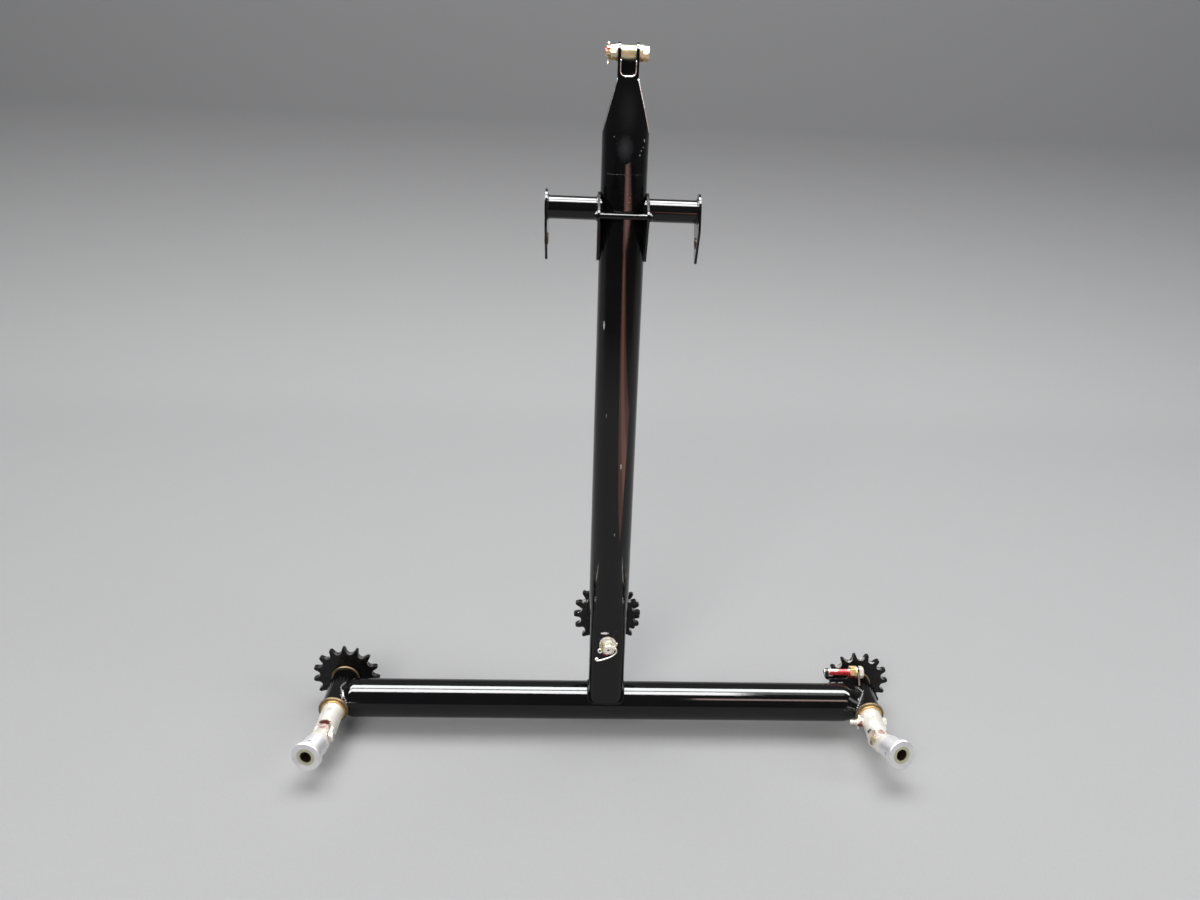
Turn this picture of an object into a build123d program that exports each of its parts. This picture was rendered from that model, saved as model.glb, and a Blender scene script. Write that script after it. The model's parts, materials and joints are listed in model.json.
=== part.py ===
from build123d import *
import os
from math import asin, cos, degrees, radians, sin, sqrt

# Control column of a light aircraft: a welded tee of steel tube that rocks on a
# pivot tube, with a chain sprocket and a universal joint on each wheel shaft.
# It is modelled as the photograph shows it, crossbar down and cable fork up.
# The origin is the middle of the pivot bore, +X to the right wheel shaft,
# +Y away from the pilot's side, +Z up the column. Sizes are millimetres.

os.makedirs("parts", exist_ok=True)

# Overall layout
pivot_to_bar = 488.95
pivot_to_fork_bolt = 120.65
shaft_spacing = 533.4
idler_above_bar = 78.0
chain_plane_y = 38.0

# Small gaps between pieces
weld_gap = 0.03
press_gap = 0.01
running_gap = 0.04
bolt_gap = 0.06
side_play = 0.15

# Column tube and its squared foot
column_od = 38.1
column_wall = 1.65
column_round_end = 30.0
foot_width = 35.0
foot_crown = 0.15
foot_corner_angle = 24.0
foot_form_top = 128.0
foot_form_bottom = 94.0

# Crossbar tube and its pinched ends
bar_od = 38.1
bar_wall = 1.65
pinch_start = 22.0
pinch_end = 9.0
pinch_side_gap = 0.3

# Cable fork at the column's end
fork_width = 16.8
fork_depth = 19.0
fork_wall = 2.4
fork_gap = 12.2
fork_flat_start = 38.0
fork_taper_start = 61.0
fork_neck = 18.5
fork_eye_above = 8.0
fork_notch_bottom = 17.0
fork_notch_radius = 4.0
fork_web_top = 3.0

# Pivot tube, its bushes and its plates
pivot_tube_od = 19.05
pivot_tube_wall = 1.65
pivot_tube_length = 129.0
pivot_bore = 9.6
pivot_bush_length = 19.0
end_plate_thickness = 2.0
end_plate_inset = 0.5
end_plate_top_radius = 14.6
end_plate_shoulder_y = 13.5
end_plate_shoulder_drop = 13.0
end_plate_shoulder_radius = 5.0
end_plate_tip_drop = 40.0
end_plate_tip_radius = 3.4
plate_hole_drop = 26.0
plate_bush_od = 9.5
plate_bush_bore = 6.45
plate_bush_length = 3.2
gusset_thickness = 2.0
gusset_top_radius = 13.8
gusset_tail_drop = 39.0
gusset_tail_radius = 4.0
guard_rod_diameter = 4.76
guard_rod_y = -24.5
guard_rod_z = -2.0
guard_rod_stick_out = 2.6
guard_rod_edge = 2.4
guard_clip_wire = 1.2

# Wheel shaft bearings
housing_od = 25.4
housing_wall = 1.5875
housing_front = 19.1
housing_rear = 31.2
bush_length = 13.0
flange_step = 1.5875
flange_thickness = 2.5
shaft_od = 15.875
shaft_wall = 2.4
shaft_rear_end = 54.0
shaft_front_end = 43.0
thrust_washer_thickness = 1.5
thrust_washer_step = 2.4

# Chain sprockets
chain_pitch = 12.7
roller_diameter = 7.92
roller_play = 0.05
sprocket_teeth = 15
sprocket_od = 67.4
sprocket_thickness = 5.56
tooth_tip_width = 1.3
tooth_edge_chamfer = 0.7
seat_half_angle = 66.0
hub_od = 25.4
hub_rear_length = 11.0
left_tooth_phase = 20.0
right_tooth_phase = 3.0
idler_tooth_phase = 8.0
idler_phase_step = 9.0
sprocket_pin_diameter = 4.76

# Adjustable stop on the right shaft
wheel_travel = 110.0
stop_bolt_diameter = 6.35
stop_bolt_y = 22.0
stop_bolt_rise = 8.9
stop_ear_x = -5.9
stop_ear_thickness = 2.0
stop_ear_radius = 6.4
stop_strip_length = 31.0
stop_strip_thickness = 3.0
stop_strip_gap = 0.6
stop_washer_od = 12.9
stop_shank_length = 31.0
stop_end_diameter = 7.2
stop_end_length = 5.0
lug_diameter = 6.0
lug_reach = 13.5
lug_clearance = 0.4

# Universal joints
yoke_od = 20.6
joint_distance = 61.0
ear_radius = 5.3
block_size = 11.6
block_play = 0.15
block_edge_radius = 1.6
crotch_radius = 10.2
joint_pin_diameter = 4.9
joint_pin_recess = 0.25
yoke_bolt_distance = 32.4
yoke_pin_diameter = 4.76
left_droop = -6.2
left_swing = -11.2
right_swing = 17.5
right_rise = 15.2

# Aluminium adapters on the outer yokes
stem_od = 17.0
stem_bore = 11.2
stem_bore_bottom = 17.2
adapter_start = 14.6
adapter_end = 36.0
adapter_od = 23.0
adapter_rim_od = 28.575
adapter_rim_length = 4.2
adapter_rim_slope = 2.6
adapter_pin_distance = 26.3
adapter_pin_diameter = 2.6
adapter_pin_recess = 0.6

# Hexagon hardware: bolt diameter, width across flats, head and nut heights
fork_bolt_diameter = 6.35
fork_hex = 11.1
fork_head_height = 4.6
fork_nut_height = 7.0
idler_bolt_diameter = 9.525
idler_hex = 14.3
idler_head_height = 5.6
idler_nut_height = 8.6
yoke_bolt_diameter = 4.76
yoke_hex = 8.0
yoke_head_height = 3.0
yoke_nut_height = 4.8
yoke_bolt_end = 3.2
stop_hex = 11.1
stop_head_height = 4.8
stop_nut_height = 5.6
washer_thickness = 1.6
castle_share = 0.42
crown_share = 0.46
cotter_play = 0.2
bolt_end_past_nut = 1.6
cotter_diameter = 1.6
fork_cotter_turn = 90.0
idler_cotter_turn = -20.0
yoke_cotter_turn = 90.0

# Idler stack on the crossover bolt
idler_split = 1.2
idler_bush_od = 15.0
spacer_od = 16.0
sleeve_od = 13.5

# Worked-out places
bar_z = -pivot_to_bar
bar_radius = bar_od / 2
column_radius = column_od / 2
shaft_x = shaft_spacing / 2
idler_z = bar_z + idler_above_bar
pitch_radius = chain_pitch / 2 / sin(radians(180 / sprocket_teeth))
bush_od = housing_od - 2 * housing_wall
flange_od = housing_od + 2 * flange_step
stop_bolt_z = housing_od / 2 + stop_bolt_rise
thrust_washer_od = flange_od - 2 * thrust_washer_step
flange_front = housing_front + flange_thickness
flange_rear = housing_rear + flange_thickness
yoke_start = flange_front + thrust_washer_thickness + 2 * side_play
sides = (("left", -1), ("right", 1))


def facing(x, y, z):
    """A plane that looks at the pilot's side, -Y, with its x along +X."""
    return Plane(origin=(x, y, z), x_dir=(1, 0, 0), z_dir=(0, -1, 0))


def sideways(x, y, z, sign=1):
    """A plane whose normal is +X or -X, with its y up."""
    return Plane(origin=(x, y, z), x_dir=(0, sign, 0), z_dir=(sign, 0, 0))


def turned(plane, x_angle=0, y_angle=0, z_angle=0):
    """The plane turned about its own axes through its own origin."""
    return Plane(plane.location * Location((0, 0, 0), (x_angle, y_angle, z_angle)))


def washer(seat, bore, outer, thickness):
    """A flat washer that lies on the seat plane."""
    with BuildPart() as ring:
        with BuildSketch(seat):
            Circle(outer / 2)
            Circle(bore / 2, mode=Mode.SUBTRACT)
        extrude(amount=thickness)
    return ring.part


def hex_bolt(seat, diameter, across_flats, head_height, length):
    """A bolt whose head bears on the seat plane and whose shank runs along its normal."""
    with BuildPart() as bolt:
        with BuildSketch(seat):
            RegularPolygon(across_flats / 2, 6, major_radius=False)
        extrude(amount=-head_height)
        with BuildSketch(seat.offset(-head_height)):
            Circle(across_flats * 0.5)
        extrude(amount=head_height, taper=-30, mode=Mode.INTERSECT)
        with BuildSketch(seat):
            Circle(diameter / 2)
        extrude(amount=length)
        chamfer(bolt.edges().filter_by(GeomType.CIRCLE).sort_by(seat_axis(seat))[-1], diameter * 0.1)
    return bolt.part


def seat_axis(seat):
    """The line through a seat plane along its normal, used to sort edges."""
    return Axis(seat.origin, seat.z_dir)


def castle_nut(seat, diameter, across_flats, height, turn):
    """A slotted nut on the seat plane, its castle along the normal and a slot at turn."""
    castle = height * castle_share
    with BuildPart() as nut:
        with BuildSketch(seat):
            RegularPolygon(across_flats / 2, 6, major_radius=False, rotation=turn + 30)
        extrude(amount=height - castle)
        with BuildSketch(seat.offset(height - castle)):
            Circle(across_flats * crown_share)
            for slot_turn in (0, 60, 120):
                Rectangle(across_flats, cotter_diameter + 2 * cotter_play, rotation=turn + slot_turn, mode=Mode.SUBTRACT)
        extrude(amount=castle)
        with BuildSketch(seat):
            Circle(diameter / 2 + bolt_gap)
        extrude(amount=height, mode=Mode.SUBTRACT)
    return nut.part


def cotter_level(nut_height):
    """Height of a split pin above the seat of its castle nut."""
    return nut_height * (1 - castle_share * 0.45)


def drilled_bolt(seat, diameter, across_flats, head_height, length, hole_distance, turn=0):
    """A hexagon bolt with a cotter hole across its end, turned about the bolt."""
    bolt_solid = hex_bolt(seat, diameter, across_flats, head_height, length)
    across = turned(turned(seat.offset(hole_distance), z_angle=turn), y_angle=90)
    with BuildPart() as drilled:
        add(bolt_solid)
        with BuildSketch(across):
            Circle(cotter_diameter / 2 + bolt_gap)
        extrude(amount=diameter, both=True, mode=Mode.SUBTRACT)
    return drilled.part


def cotter(seat, nut_radius, hole_distance, turn=0):
    """A split pin through a bolt end: an eye on one side, two bent legs on the other."""
    wire = cotter_diameter / 2
    start = nut_radius + 1.2 * cotter_diameter
    stop = nut_radius + 1.0 * cotter_diameter
    level = turned(seat.offset(hole_distance), z_angle=turn)
    half_leg = wire * 0.5
    with BuildPart() as pin:
        # Straight shank, split in two flat-sided legs past the bolt
        with BuildSketch(turned(level, y_angle=90).offset(-start)):
            Circle(wire)
        extrude(amount=start + stop - cotter_diameter)
        # Eye, and two flat legs bent round the nut, one each way
        with BuildSketch(level):
            with Locations((-start - 1.3 * wire, 0)):
                Circle(2.3 * wire)
                Circle(1.2 * wire, mode=Mode.SUBTRACT)
            for way in (1, -1):
                with BuildLine():
                    FilletPolyline(
                        (stop - 1.6 * cotter_diameter, way * half_leg),
                        (stop, way * half_leg),
                        (stop - 0.9 * cotter_diameter, way * nut_radius * 0.85),
                        radius=cotter_diameter * 0.35,
                    )
                trace(line_width=wire * 1.3)
        extrude(amount=half_leg * 1.4, both=True)
    return pin.part


def formed_section(half_width, side_angle, crown):
    """Closed outline of eight arcs: four sides and four corners.

    With crown at the side's own sagitta and equal radii it is a circle, and
    with a small crown it is the squared section that the tube is pressed to.
    """
    side_half = half_width * sin(radians(side_angle)) if crown is None else half_width * 0.56
    side_reach = half_width * cos(radians(side_angle)) if crown is None else half_width - crown
    corner = half_width * sin(radians(45)) if crown is None else half_width * 0.862
    with BuildSketch() as outline:
        with BuildLine():
            for turn in (0, 90, 180, 270):
                side_start = Vector(side_reach, -side_half).rotate(Axis.Z, turn)
                side_middle = Vector(half_width, 0).rotate(Axis.Z, turn)
                side_end = Vector(side_reach, side_half).rotate(Axis.Z, turn)
                corner_middle = Vector(corner, corner).rotate(Axis.Z, turn)
                next_start = Vector(side_half, side_reach).rotate(Axis.Z, turn)
                ThreePointArc(side_start, side_middle, side_end)
                ThreePointArc(side_end, corner_middle, next_start)
        make_face()
    return outline.sketch


def foot_solid(inset):
    """The round column, its forming length and its squared foot, thinned by inset."""
    radius = column_radius - inset
    half_foot = foot_width / 2 - inset
    form_top = bar_z + foot_form_top
    form_bottom = bar_z + foot_form_bottom
    with BuildPart() as shape:
        with BuildSketch(Plane.XY.offset(form_top)):
            Circle(radius)
        extrude(amount=column_round_end - form_top)
        with BuildSketch(Plane.XY.offset(form_bottom)):
            add(formed_section(half_foot, foot_corner_angle, foot_crown))
        with BuildSketch(Plane.XY.offset(form_top)):
            add(formed_section(radius, foot_corner_angle, None))
        loft()
        with BuildSketch(Plane.XY.offset(form_bottom)):
            add(formed_section(half_foot, foot_corner_angle, foot_crown))
        extrude(amount=bar_z - form_bottom)
    return shape.part


# Column tube: round above, pressed square below, saddled on the crossbar
with BuildPart() as column_tube:
    add(foot_solid(0))
    add(foot_solid(column_wall), mode=Mode.SUBTRACT)
    # Saddle that fits over the crossbar
    with BuildSketch(sideways(0, 0, bar_z)):
        Circle(bar_radius + weld_gap)
    extrude(amount=column_od, both=True, mode=Mode.SUBTRACT)
    # Hole for the pivot tube
    with BuildSketch(sideways(0, 0, 0)):
        Circle(pivot_tube_od / 2 + weld_gap)
    extrude(amount=column_od, both=True, mode=Mode.SUBTRACT)
    # Hole for the idler bolt, front to back
    with BuildSketch(facing(0, 0, idler_z)):
        Circle(idler_bolt_diameter / 2 + bolt_gap)
    extrude(amount=column_od, both=True, mode=Mode.SUBTRACT)


def bar_solid(inset):
    """The crossbar with both ends pinched to the height of the bearing housings."""
    radius = bar_radius - inset
    pinch_radius = housing_od / 2 - pinch_side_gap - inset
    straight = shaft_x - pinch_start
    with BuildPart() as shape:
        with BuildSketch(sideways(-straight, 0, bar_z)):
            Circle(radius)
        extrude(amount=2 * straight)
        for way in (1, -1):
            with BuildSketch(sideways(way * straight, 0, bar_z)):
                Circle(radius)
            with BuildSketch(sideways(way * (shaft_x - pinch_end), 0, bar_z)):
                Ellipse(radius, pinch_radius)
            loft()
            with BuildSketch(sideways(way * (shaft_x - pinch_end), 0, bar_z, way)):
                Ellipse(radius, pinch_radius)
            extrude(amount=pinch_end)
    return shape.part


# Crossbar: one through tube, its ends coped round the bearing housings
with BuildPart() as crossbar_tube:
    add(bar_solid(0))
    add(bar_solid(bar_wall), mode=Mode.SUBTRACT)
    for side, sign in sides:
        with BuildSketch(facing(sign * shaft_x, 0, bar_z)):
            Circle(housing_od / 2 + weld_gap)
        extrude(amount=bar_od, both=True, mode=Mode.SUBTRACT)


def fork_envelope(inset):
    """Flat-sided taper cut from the column's round section, thinned by inset."""
    bottom = column_round_end + weld_gap - inset
    neck_z = pivot_to_fork_bolt - fork_neck
    top_z = pivot_to_fork_bolt + fork_eye_above
    half_width = fork_width / 2 - inset
    half_depth = fork_depth / 2 - inset
    radius = column_radius - inset
    with BuildPart() as shape:
        with BuildSketch(Plane.XY.offset(bottom)):
            Circle(radius)
        extrude(amount=top_z - bottom)
        # Front view: full width, taper, then the narrow fork
        with BuildSketch(facing(0, 0, 0)):
            with BuildLine():
                Polyline(
                    (-radius, bottom),
                    (radius, bottom),
                    (radius, fork_taper_start),
                    (half_width, neck_z),
                    (half_width, top_z),
                    (-half_width, top_z),
                    (-half_width, neck_z),
                    (-radius, fork_taper_start),
                    close=True,
                )
            make_face()
        extrude(amount=column_od, both=True, mode=Mode.INTERSECT)
        # Side view: flats that lean in from the round tube, and a round eye
        with BuildSketch(sideways(0, 0, 0)):
            with BuildLine():
                Polyline(
                    (-half_depth, top_z - half_depth),
                    (-half_depth, neck_z),
                    (-radius, fork_flat_start),
                    (-radius, bottom),
                    (radius, bottom),
                    (radius, fork_flat_start),
                    (half_depth, neck_z),
                    (half_depth, top_z - half_depth),
                )
                ThreePointArc((half_depth, top_z - half_depth), (0, top_z), (-half_depth, top_z - half_depth))
            make_face()
        extrude(amount=column_od, both=True, mode=Mode.INTERSECT)
    return shape.part


# Cable fork: hollow taper, notched at the front to leave two ears and a low web behind
with BuildPart() as column_fork:
    add(fork_envelope(0))
    add(fork_envelope(fork_wall), mode=Mode.SUBTRACT)
    notch_bottom = pivot_to_fork_bolt - fork_notch_bottom
    notch_top = pivot_to_fork_bolt + 2 * fork_eye_above
    with BuildSketch(facing(0, fork_depth / 2 - fork_wall, 0)):
        with Locations((0, (notch_bottom + notch_top) / 2)):
            RectangleRounded(fork_gap, notch_top - notch_bottom, fork_notch_radius)
    extrude(amount=column_od, mode=Mode.SUBTRACT)
    web_top = pivot_to_fork_bolt - fork_web_top
    with BuildSketch(facing(0, 0, 0)):
        with Locations((0, (web_top + notch_top) / 2)):
            Rectangle(fork_gap, notch_top - web_top)
    extrude(amount=column_od, both=True, mode=Mode.SUBTRACT)
    with BuildSketch(sideways(0, 0, pivot_to_fork_bolt)):
        Circle(fork_bolt_diameter / 2 + bolt_gap)
    extrude(amount=column_od, both=True, mode=Mode.SUBTRACT)

# Pivot tube through the column
with BuildPart() as pivot_tube:
    with BuildSketch(sideways(-pivot_tube_length / 2, 0, 0)):
        Circle(pivot_tube_od / 2)
        Circle(pivot_tube_od / 2 - pivot_tube_wall, mode=Mode.SUBTRACT)
    extrude(amount=pivot_tube_length)

# Plates on the pivot tube, and the bushes in its ends and in the plates
end_plates = {}
gusset_plates = {}
pivot_bushes = {}
plate_inner = pivot_tube_length / 2 - end_plate_thickness - end_plate_inset
for side, sign in sides:
    with BuildPart() as end_plate:
        with BuildSketch(sideways(sign * plate_inner, 0, 0, sign)):
            Circle(end_plate_top_radius)
            with Locations(
                (end_plate_shoulder_y, -end_plate_shoulder_drop),
                (-end_plate_shoulder_y, -end_plate_shoulder_drop),
            ):
                Circle(end_plate_shoulder_radius)
            with Locations((0, -end_plate_tip_drop)):
                Circle(end_plate_tip_radius)
            make_hull()
            Circle(pivot_tube_od / 2 + weld_gap, mode=Mode.SUBTRACT)
            with Locations((0, -plate_hole_drop)):
                Circle(plate_bush_od / 2 + press_gap, mode=Mode.SUBTRACT)
        extrude(amount=end_plate_thickness)
    end_plates[side] = end_plate.part

    with BuildPart() as gusset_plate:
        with BuildSketch(sideways(sign * (column_radius + weld_gap), 0, 0, sign)):
            Circle(gusset_top_radius)
            with Locations((sign * guard_rod_y, guard_rod_z)):
                Circle(guard_rod_diameter / 2 + guard_rod_edge)
            with Locations((0, -gusset_tail_drop)):
                Circle(gusset_tail_radius)
            make_hull()
            Circle(pivot_tube_od / 2 + weld_gap, mode=Mode.SUBTRACT)
            with Locations((sign * guard_rod_y, guard_rod_z)):
                Circle(guard_rod_diameter / 2 + bolt_gap, mode=Mode.SUBTRACT)
        extrude(amount=gusset_thickness)
    gusset_plates[side] = gusset_plate.part

    with BuildPart() as pivot_bush:
        with BuildSketch(sideways(sign * pivot_tube_length / 2, 0, 0, -sign)):
            Circle(pivot_tube_od / 2 - pivot_tube_wall - press_gap)
            Circle(pivot_bore / 2, mode=Mode.SUBTRACT)
        extrude(amount=pivot_bush_length)
    pivot_bushes[side] = pivot_bush.part

with BuildPart() as plate_bushes:
    for side, sign in sides:
        bush_start = plate_inner + (end_plate_thickness - plate_bush_length) / 2
        with BuildSketch(sideways(sign * bush_start, 0, -plate_hole_drop, sign)):
            Circle(plate_bush_od / 2)
            Circle(plate_bush_bore / 2, mode=Mode.SUBTRACT)
        extrude(amount=plate_bush_length)

# Guard rod across the column's front, held by a clip ring at each end
rod_reach = column_radius + weld_gap + gusset_thickness + guard_rod_stick_out
with BuildPart() as guard_rod:
    with BuildSketch(sideways(-rod_reach, guard_rod_y, guard_rod_z)):
        Circle(guard_rod_diameter / 2)
    extrude(amount=2 * rod_reach)
    chamfer(guard_rod.edges().filter_by(GeomType.CIRCLE), guard_rod_diameter * 0.12)

with BuildPart() as guard_clips:
    for side, sign in sides:
        clip_x = sign * (column_radius + weld_gap + gusset_thickness + side_play)
        with BuildSketch(sideways(clip_x, guard_rod_y, guard_rod_z, sign)):
            Circle(guard_rod_diameter / 2 + guard_clip_wire)
            Circle(guard_rod_diameter / 2 + press_gap, mode=Mode.SUBTRACT)
        extrude(amount=guard_clip_wire)


def tooth_gaps(first_gap):
    """All the gaps between a sprocket's teeth: a roller seat that opens to the tips on two curves."""
    tip_radius = sprocket_od / 2
    seat_radius = roller_diameter / 2 + roller_play
    seat_edge = radians(seat_half_angle)
    seat_point = Vector(pitch_radius - seat_radius * cos(seat_edge), seat_radius * sin(seat_edge))
    half_gap = tip_radius * sin(radians(180 / sprocket_teeth)) - tooth_tip_width / 2
    mouth_point = Vector(tip_radius, half_gap)
    with BuildSketch() as gap:
        with BuildLine():
            TangentArc(seat_point, mouth_point, tangent=(sin(seat_edge), cos(seat_edge)))
            mirror(about=Plane.XZ)
            ThreePointArc(seat_point, (pitch_radius - seat_radius, 0), (seat_point.X, -seat_point.Y))
            Polyline(
                mouth_point,
                (tip_radius + tooth_tip_width, half_gap),
                (tip_radius + tooth_tip_width, -half_gap),
                (mouth_point.X, -mouth_point.Y),
            )
        make_face()
    with BuildSketch() as gaps:
        with PolarLocations(0, sprocket_teeth, start_angle=first_gap):
            add(gap.sketch)
    return gaps.sketch


def toothed_disc(x, plane_y, z, phase, bore):
    """Chain sprocket disc, centred on its chain plane, with bevelled tooth edges."""
    front = facing(x, plane_y - sprocket_thickness / 2, z)
    tip_radius = sprocket_od / 2
    bevel = tooth_edge_chamfer
    with BuildPart() as disc:
        with BuildSketch(front):
            Circle(tip_radius)
            add(tooth_gaps(phase + 180 / sprocket_teeth), mode=Mode.SUBTRACT)
            Circle(bore / 2, mode=Mode.SUBTRACT)
        extrude(amount=-sprocket_thickness)
        # Bevel the tips on both faces
        with BuildSketch(turned(front, x_angle=90)):
            with BuildLine():
                Polyline(
                    (0, 0),
                    (tip_radius - bevel * 2, 0),
                    (tip_radius + 0.1, -bevel),
                    (tip_radius + 0.1, bevel - sprocket_thickness),
                    (tip_radius - bevel * 2, -sprocket_thickness),
                    (0, -sprocket_thickness),
                    close=True,
                )
            make_face()
        revolve(axis=Axis(front.origin, front.z_dir), mode=Mode.INTERSECT)
    return disc.part


# Bearing housings, bushes, shafts and sprockets on both sides
housings = {}
shafts = {}
thrust_washers = {}
sprockets = {}
sprocket_pins = {}
hub_front_length = chain_plane_y - sprocket_thickness / 2 - flange_rear - 2 * side_play
pin_y = chain_plane_y + sprocket_thickness / 2 + hub_rear_length / 2
lug_radius = stop_bolt_z + lug_diameter / 8
head_tip_x = stop_ear_x + stop_ear_thickness + stop_head_height
lug_stop_angle = degrees(asin((head_tip_x + lug_diameter / 2 + lug_clearance) / lug_radius))
lug_angle = 90 - lug_stop_angle - wheel_travel
for side, sign in sides:
    with BuildPart() as housing:
        with BuildSketch(facing(sign * shaft_x, -housing_front, bar_z)):
            Circle(housing_od / 2)
            Circle(bush_od / 2, mode=Mode.SUBTRACT)
        extrude(amount=-(housing_front + housing_rear))
    housings[side] = housing.part

    with BuildPart() as shaft:
        with BuildSketch(facing(sign * shaft_x, shaft_rear_end, bar_z)):
            Circle(shaft_od / 2)
            Circle(shaft_od / 2 - shaft_wall, mode=Mode.SUBTRACT)
        extrude(amount=shaft_rear_end + shaft_front_end)
        # Cross holes for the yoke fastener and the sprocket pin
        fastener_plane = Plane.XY if side == "left" else Plane.YZ
        fastener_diameter = yoke_pin_diameter if side == "left" else yoke_bolt_diameter + 2 * bolt_gap
        centre = (sign * shaft_x, -yoke_bolt_distance, bar_z)
        with BuildSketch(Plane(origin=centre, x_dir=fastener_plane.x_dir, z_dir=fastener_plane.z_dir)):
            Circle(fastener_diameter / 2 + press_gap)
        extrude(amount=shaft_od, both=True, mode=Mode.SUBTRACT)
        with BuildSketch(Plane(origin=(sign * shaft_x, pin_y, bar_z), z_dir=(0, 0, 1))):
            Circle(sprocket_pin_diameter / 2 + press_gap)
        extrude(amount=shaft_od, both=True, mode=Mode.SUBTRACT)
    shafts[side] = shaft.part

    thrust_washers[side] = washer(
        facing(sign * shaft_x, -flange_front - side_play, bar_z),
        shaft_od + 2 * press_gap,
        thrust_washer_od,
        thrust_washer_thickness,
    )

    phase = left_tooth_phase if side == "left" else right_tooth_phase
    wheel_bore = shaft_od + 2 * press_gap
    with BuildPart() as sprocket:
        add(toothed_disc(sign * shaft_x, chain_plane_y, bar_z, phase, wheel_bore))
        for face, length in ((-sprocket_thickness / 2, -hub_front_length), (sprocket_thickness / 2, hub_rear_length)):
            with BuildSketch(facing(sign * shaft_x, chain_plane_y + face, bar_z)):
                Circle(hub_od / 2)
                Circle(wheel_bore / 2, mode=Mode.SUBTRACT)
            extrude(amount=-length)
        if side == "right":
            # Stop lug that stands forward and meets the stop bolt's head
            lug_x = shaft_x + lug_radius * cos(radians(lug_angle))
            lug_z = bar_z + lug_radius * sin(radians(lug_angle))
            with BuildSketch(facing(lug_x, chain_plane_y, lug_z)):
                Circle(lug_diameter / 2)
            extrude(amount=sprocket_thickness / 2 + lug_reach)
        with BuildSketch(Plane(origin=(sign * shaft_x, pin_y, bar_z), z_dir=(0, 0, 1))):
            Circle(sprocket_pin_diameter / 2 + press_gap)
        extrude(amount=hub_od, both=True, mode=Mode.SUBTRACT)
    sprockets[side] = sprocket.part

    with BuildPart() as sprocket_pin:
        with BuildSketch(Plane(origin=(sign * shaft_x, pin_y, bar_z - hub_od / 2 - 0.8), z_dir=(0, 0, 1))):
            Circle(sprocket_pin_diameter / 2)
        extrude(amount=hub_od + 1.6)
        chamfer(sprocket_pin.edges().filter_by(GeomType.CIRCLE), 0.5)
    sprocket_pins[side] = sprocket_pin.part


def flanged_bush(x, face_y, way):
    """A bush pressed in a housing's mouth, its flange on the housing's end face."""
    with BuildPart() as bush:
        with BuildSketch(facing(x, face_y, bar_z)):
            Circle(flange_od / 2)
        extrude(amount=way * flange_thickness)
        chamfer(bush.edges().filter_by(GeomType.CIRCLE), flange_thickness * 0.2)
        with BuildSketch(facing(x, face_y, bar_z)):
            Circle(bush_od / 2 - press_gap)
        extrude(amount=-way * bush_length)
        with BuildSketch(facing(x, face_y, bar_z)):
            Circle(shaft_od / 2 + running_gap)
        extrude(amount=bush_length + flange_thickness, both=True, mode=Mode.SUBTRACT)
    return bush.part


with BuildPart() as shaft_bushes:
    for side, sign in sides:
        add(flanged_bush(sign * shaft_x, -housing_front, 1))
        add(flanged_bush(sign * shaft_x, housing_rear, -1))


def joint_planes(side, sign):
    """Inner, block and outer planes of a universal joint, normals along the shaft outwards.

    The inner plane's x is the pin through the inner yoke, and y the other pin.
    """
    centre = (sign * shaft_x, -joint_distance, bar_z)
    if side == "left":
        inner = Plane(origin=centre, x_dir=(1, 0, 0), z_dir=(0, -1, 0))
        block = turned(inner, x_angle=left_droop)
        outer = turned(block, y_angle=left_swing)
    else:
        inner = Plane(origin=centre, x_dir=(0, 0, 1), z_dir=(0, -1, 0))
        block = turned(inner, x_angle=right_swing)
        outer = turned(block, y_angle=right_rise)
    return inner, block, outer


def yoke_end(joint, along_x, length, depth_sign):
    """Fork of a yoke: a bar cut to two ears that straddle the block.

    The bar runs from the joint's centre by length, back along the normal for
    depth_sign -1 and forward for +1. Its ears lie on the joint plane's x axis,
    or on its y axis where along_x is False.
    """
    across = joint if along_x else turned(joint, z_angle=90)
    flank = turned(across, y_angle=90)
    top = turned(across, x_angle=90)
    open_end = crotch_radius + ear_radius
    with BuildPart() as yoke:
        with BuildSketch(across.offset(-depth_sign * ear_radius)):
            Circle(yoke_od / 2)
        extrude(amount=depth_sign * (length + ear_radius))
        # Round ends of the ears, as seen along the pin
        with BuildSketch(flank):
            Circle(ear_radius)
            with Locations((-depth_sign * length / 2, 0)):
                Rectangle(length, yoke_od)
        extrude(amount=yoke_od, both=True, mode=Mode.INTERSECT)
        # Arched slot between the ears, as seen along the other pin
        with BuildSketch(top):
            Circle(crotch_radius)
            with Locations((0, -depth_sign * open_end / 2)):
                Rectangle(2 * crotch_radius, open_end)
            Rectangle(block_size + 2 * block_play, 2 * open_end, mode=Mode.INTERSECT)
        extrude(amount=yoke_od, both=True, mode=Mode.SUBTRACT)
        # The same arch cuts both cheeks back, which leaves the ears standing
        for way in (1, -1):
            with BuildSketch(top.offset(way * ear_radius)):
                Circle(crotch_radius)
                with Locations((0, -depth_sign * open_end / 2)):
                    Rectangle(2 * crotch_radius, open_end)
            extrude(amount=way * yoke_od, mode=Mode.SUBTRACT)
        # Pin holes
        with BuildSketch(flank):
            Circle(joint_pin_diameter / 2 + running_gap)
        extrude(amount=yoke_od, both=True, mode=Mode.SUBTRACT)
    return yoke.part


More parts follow.
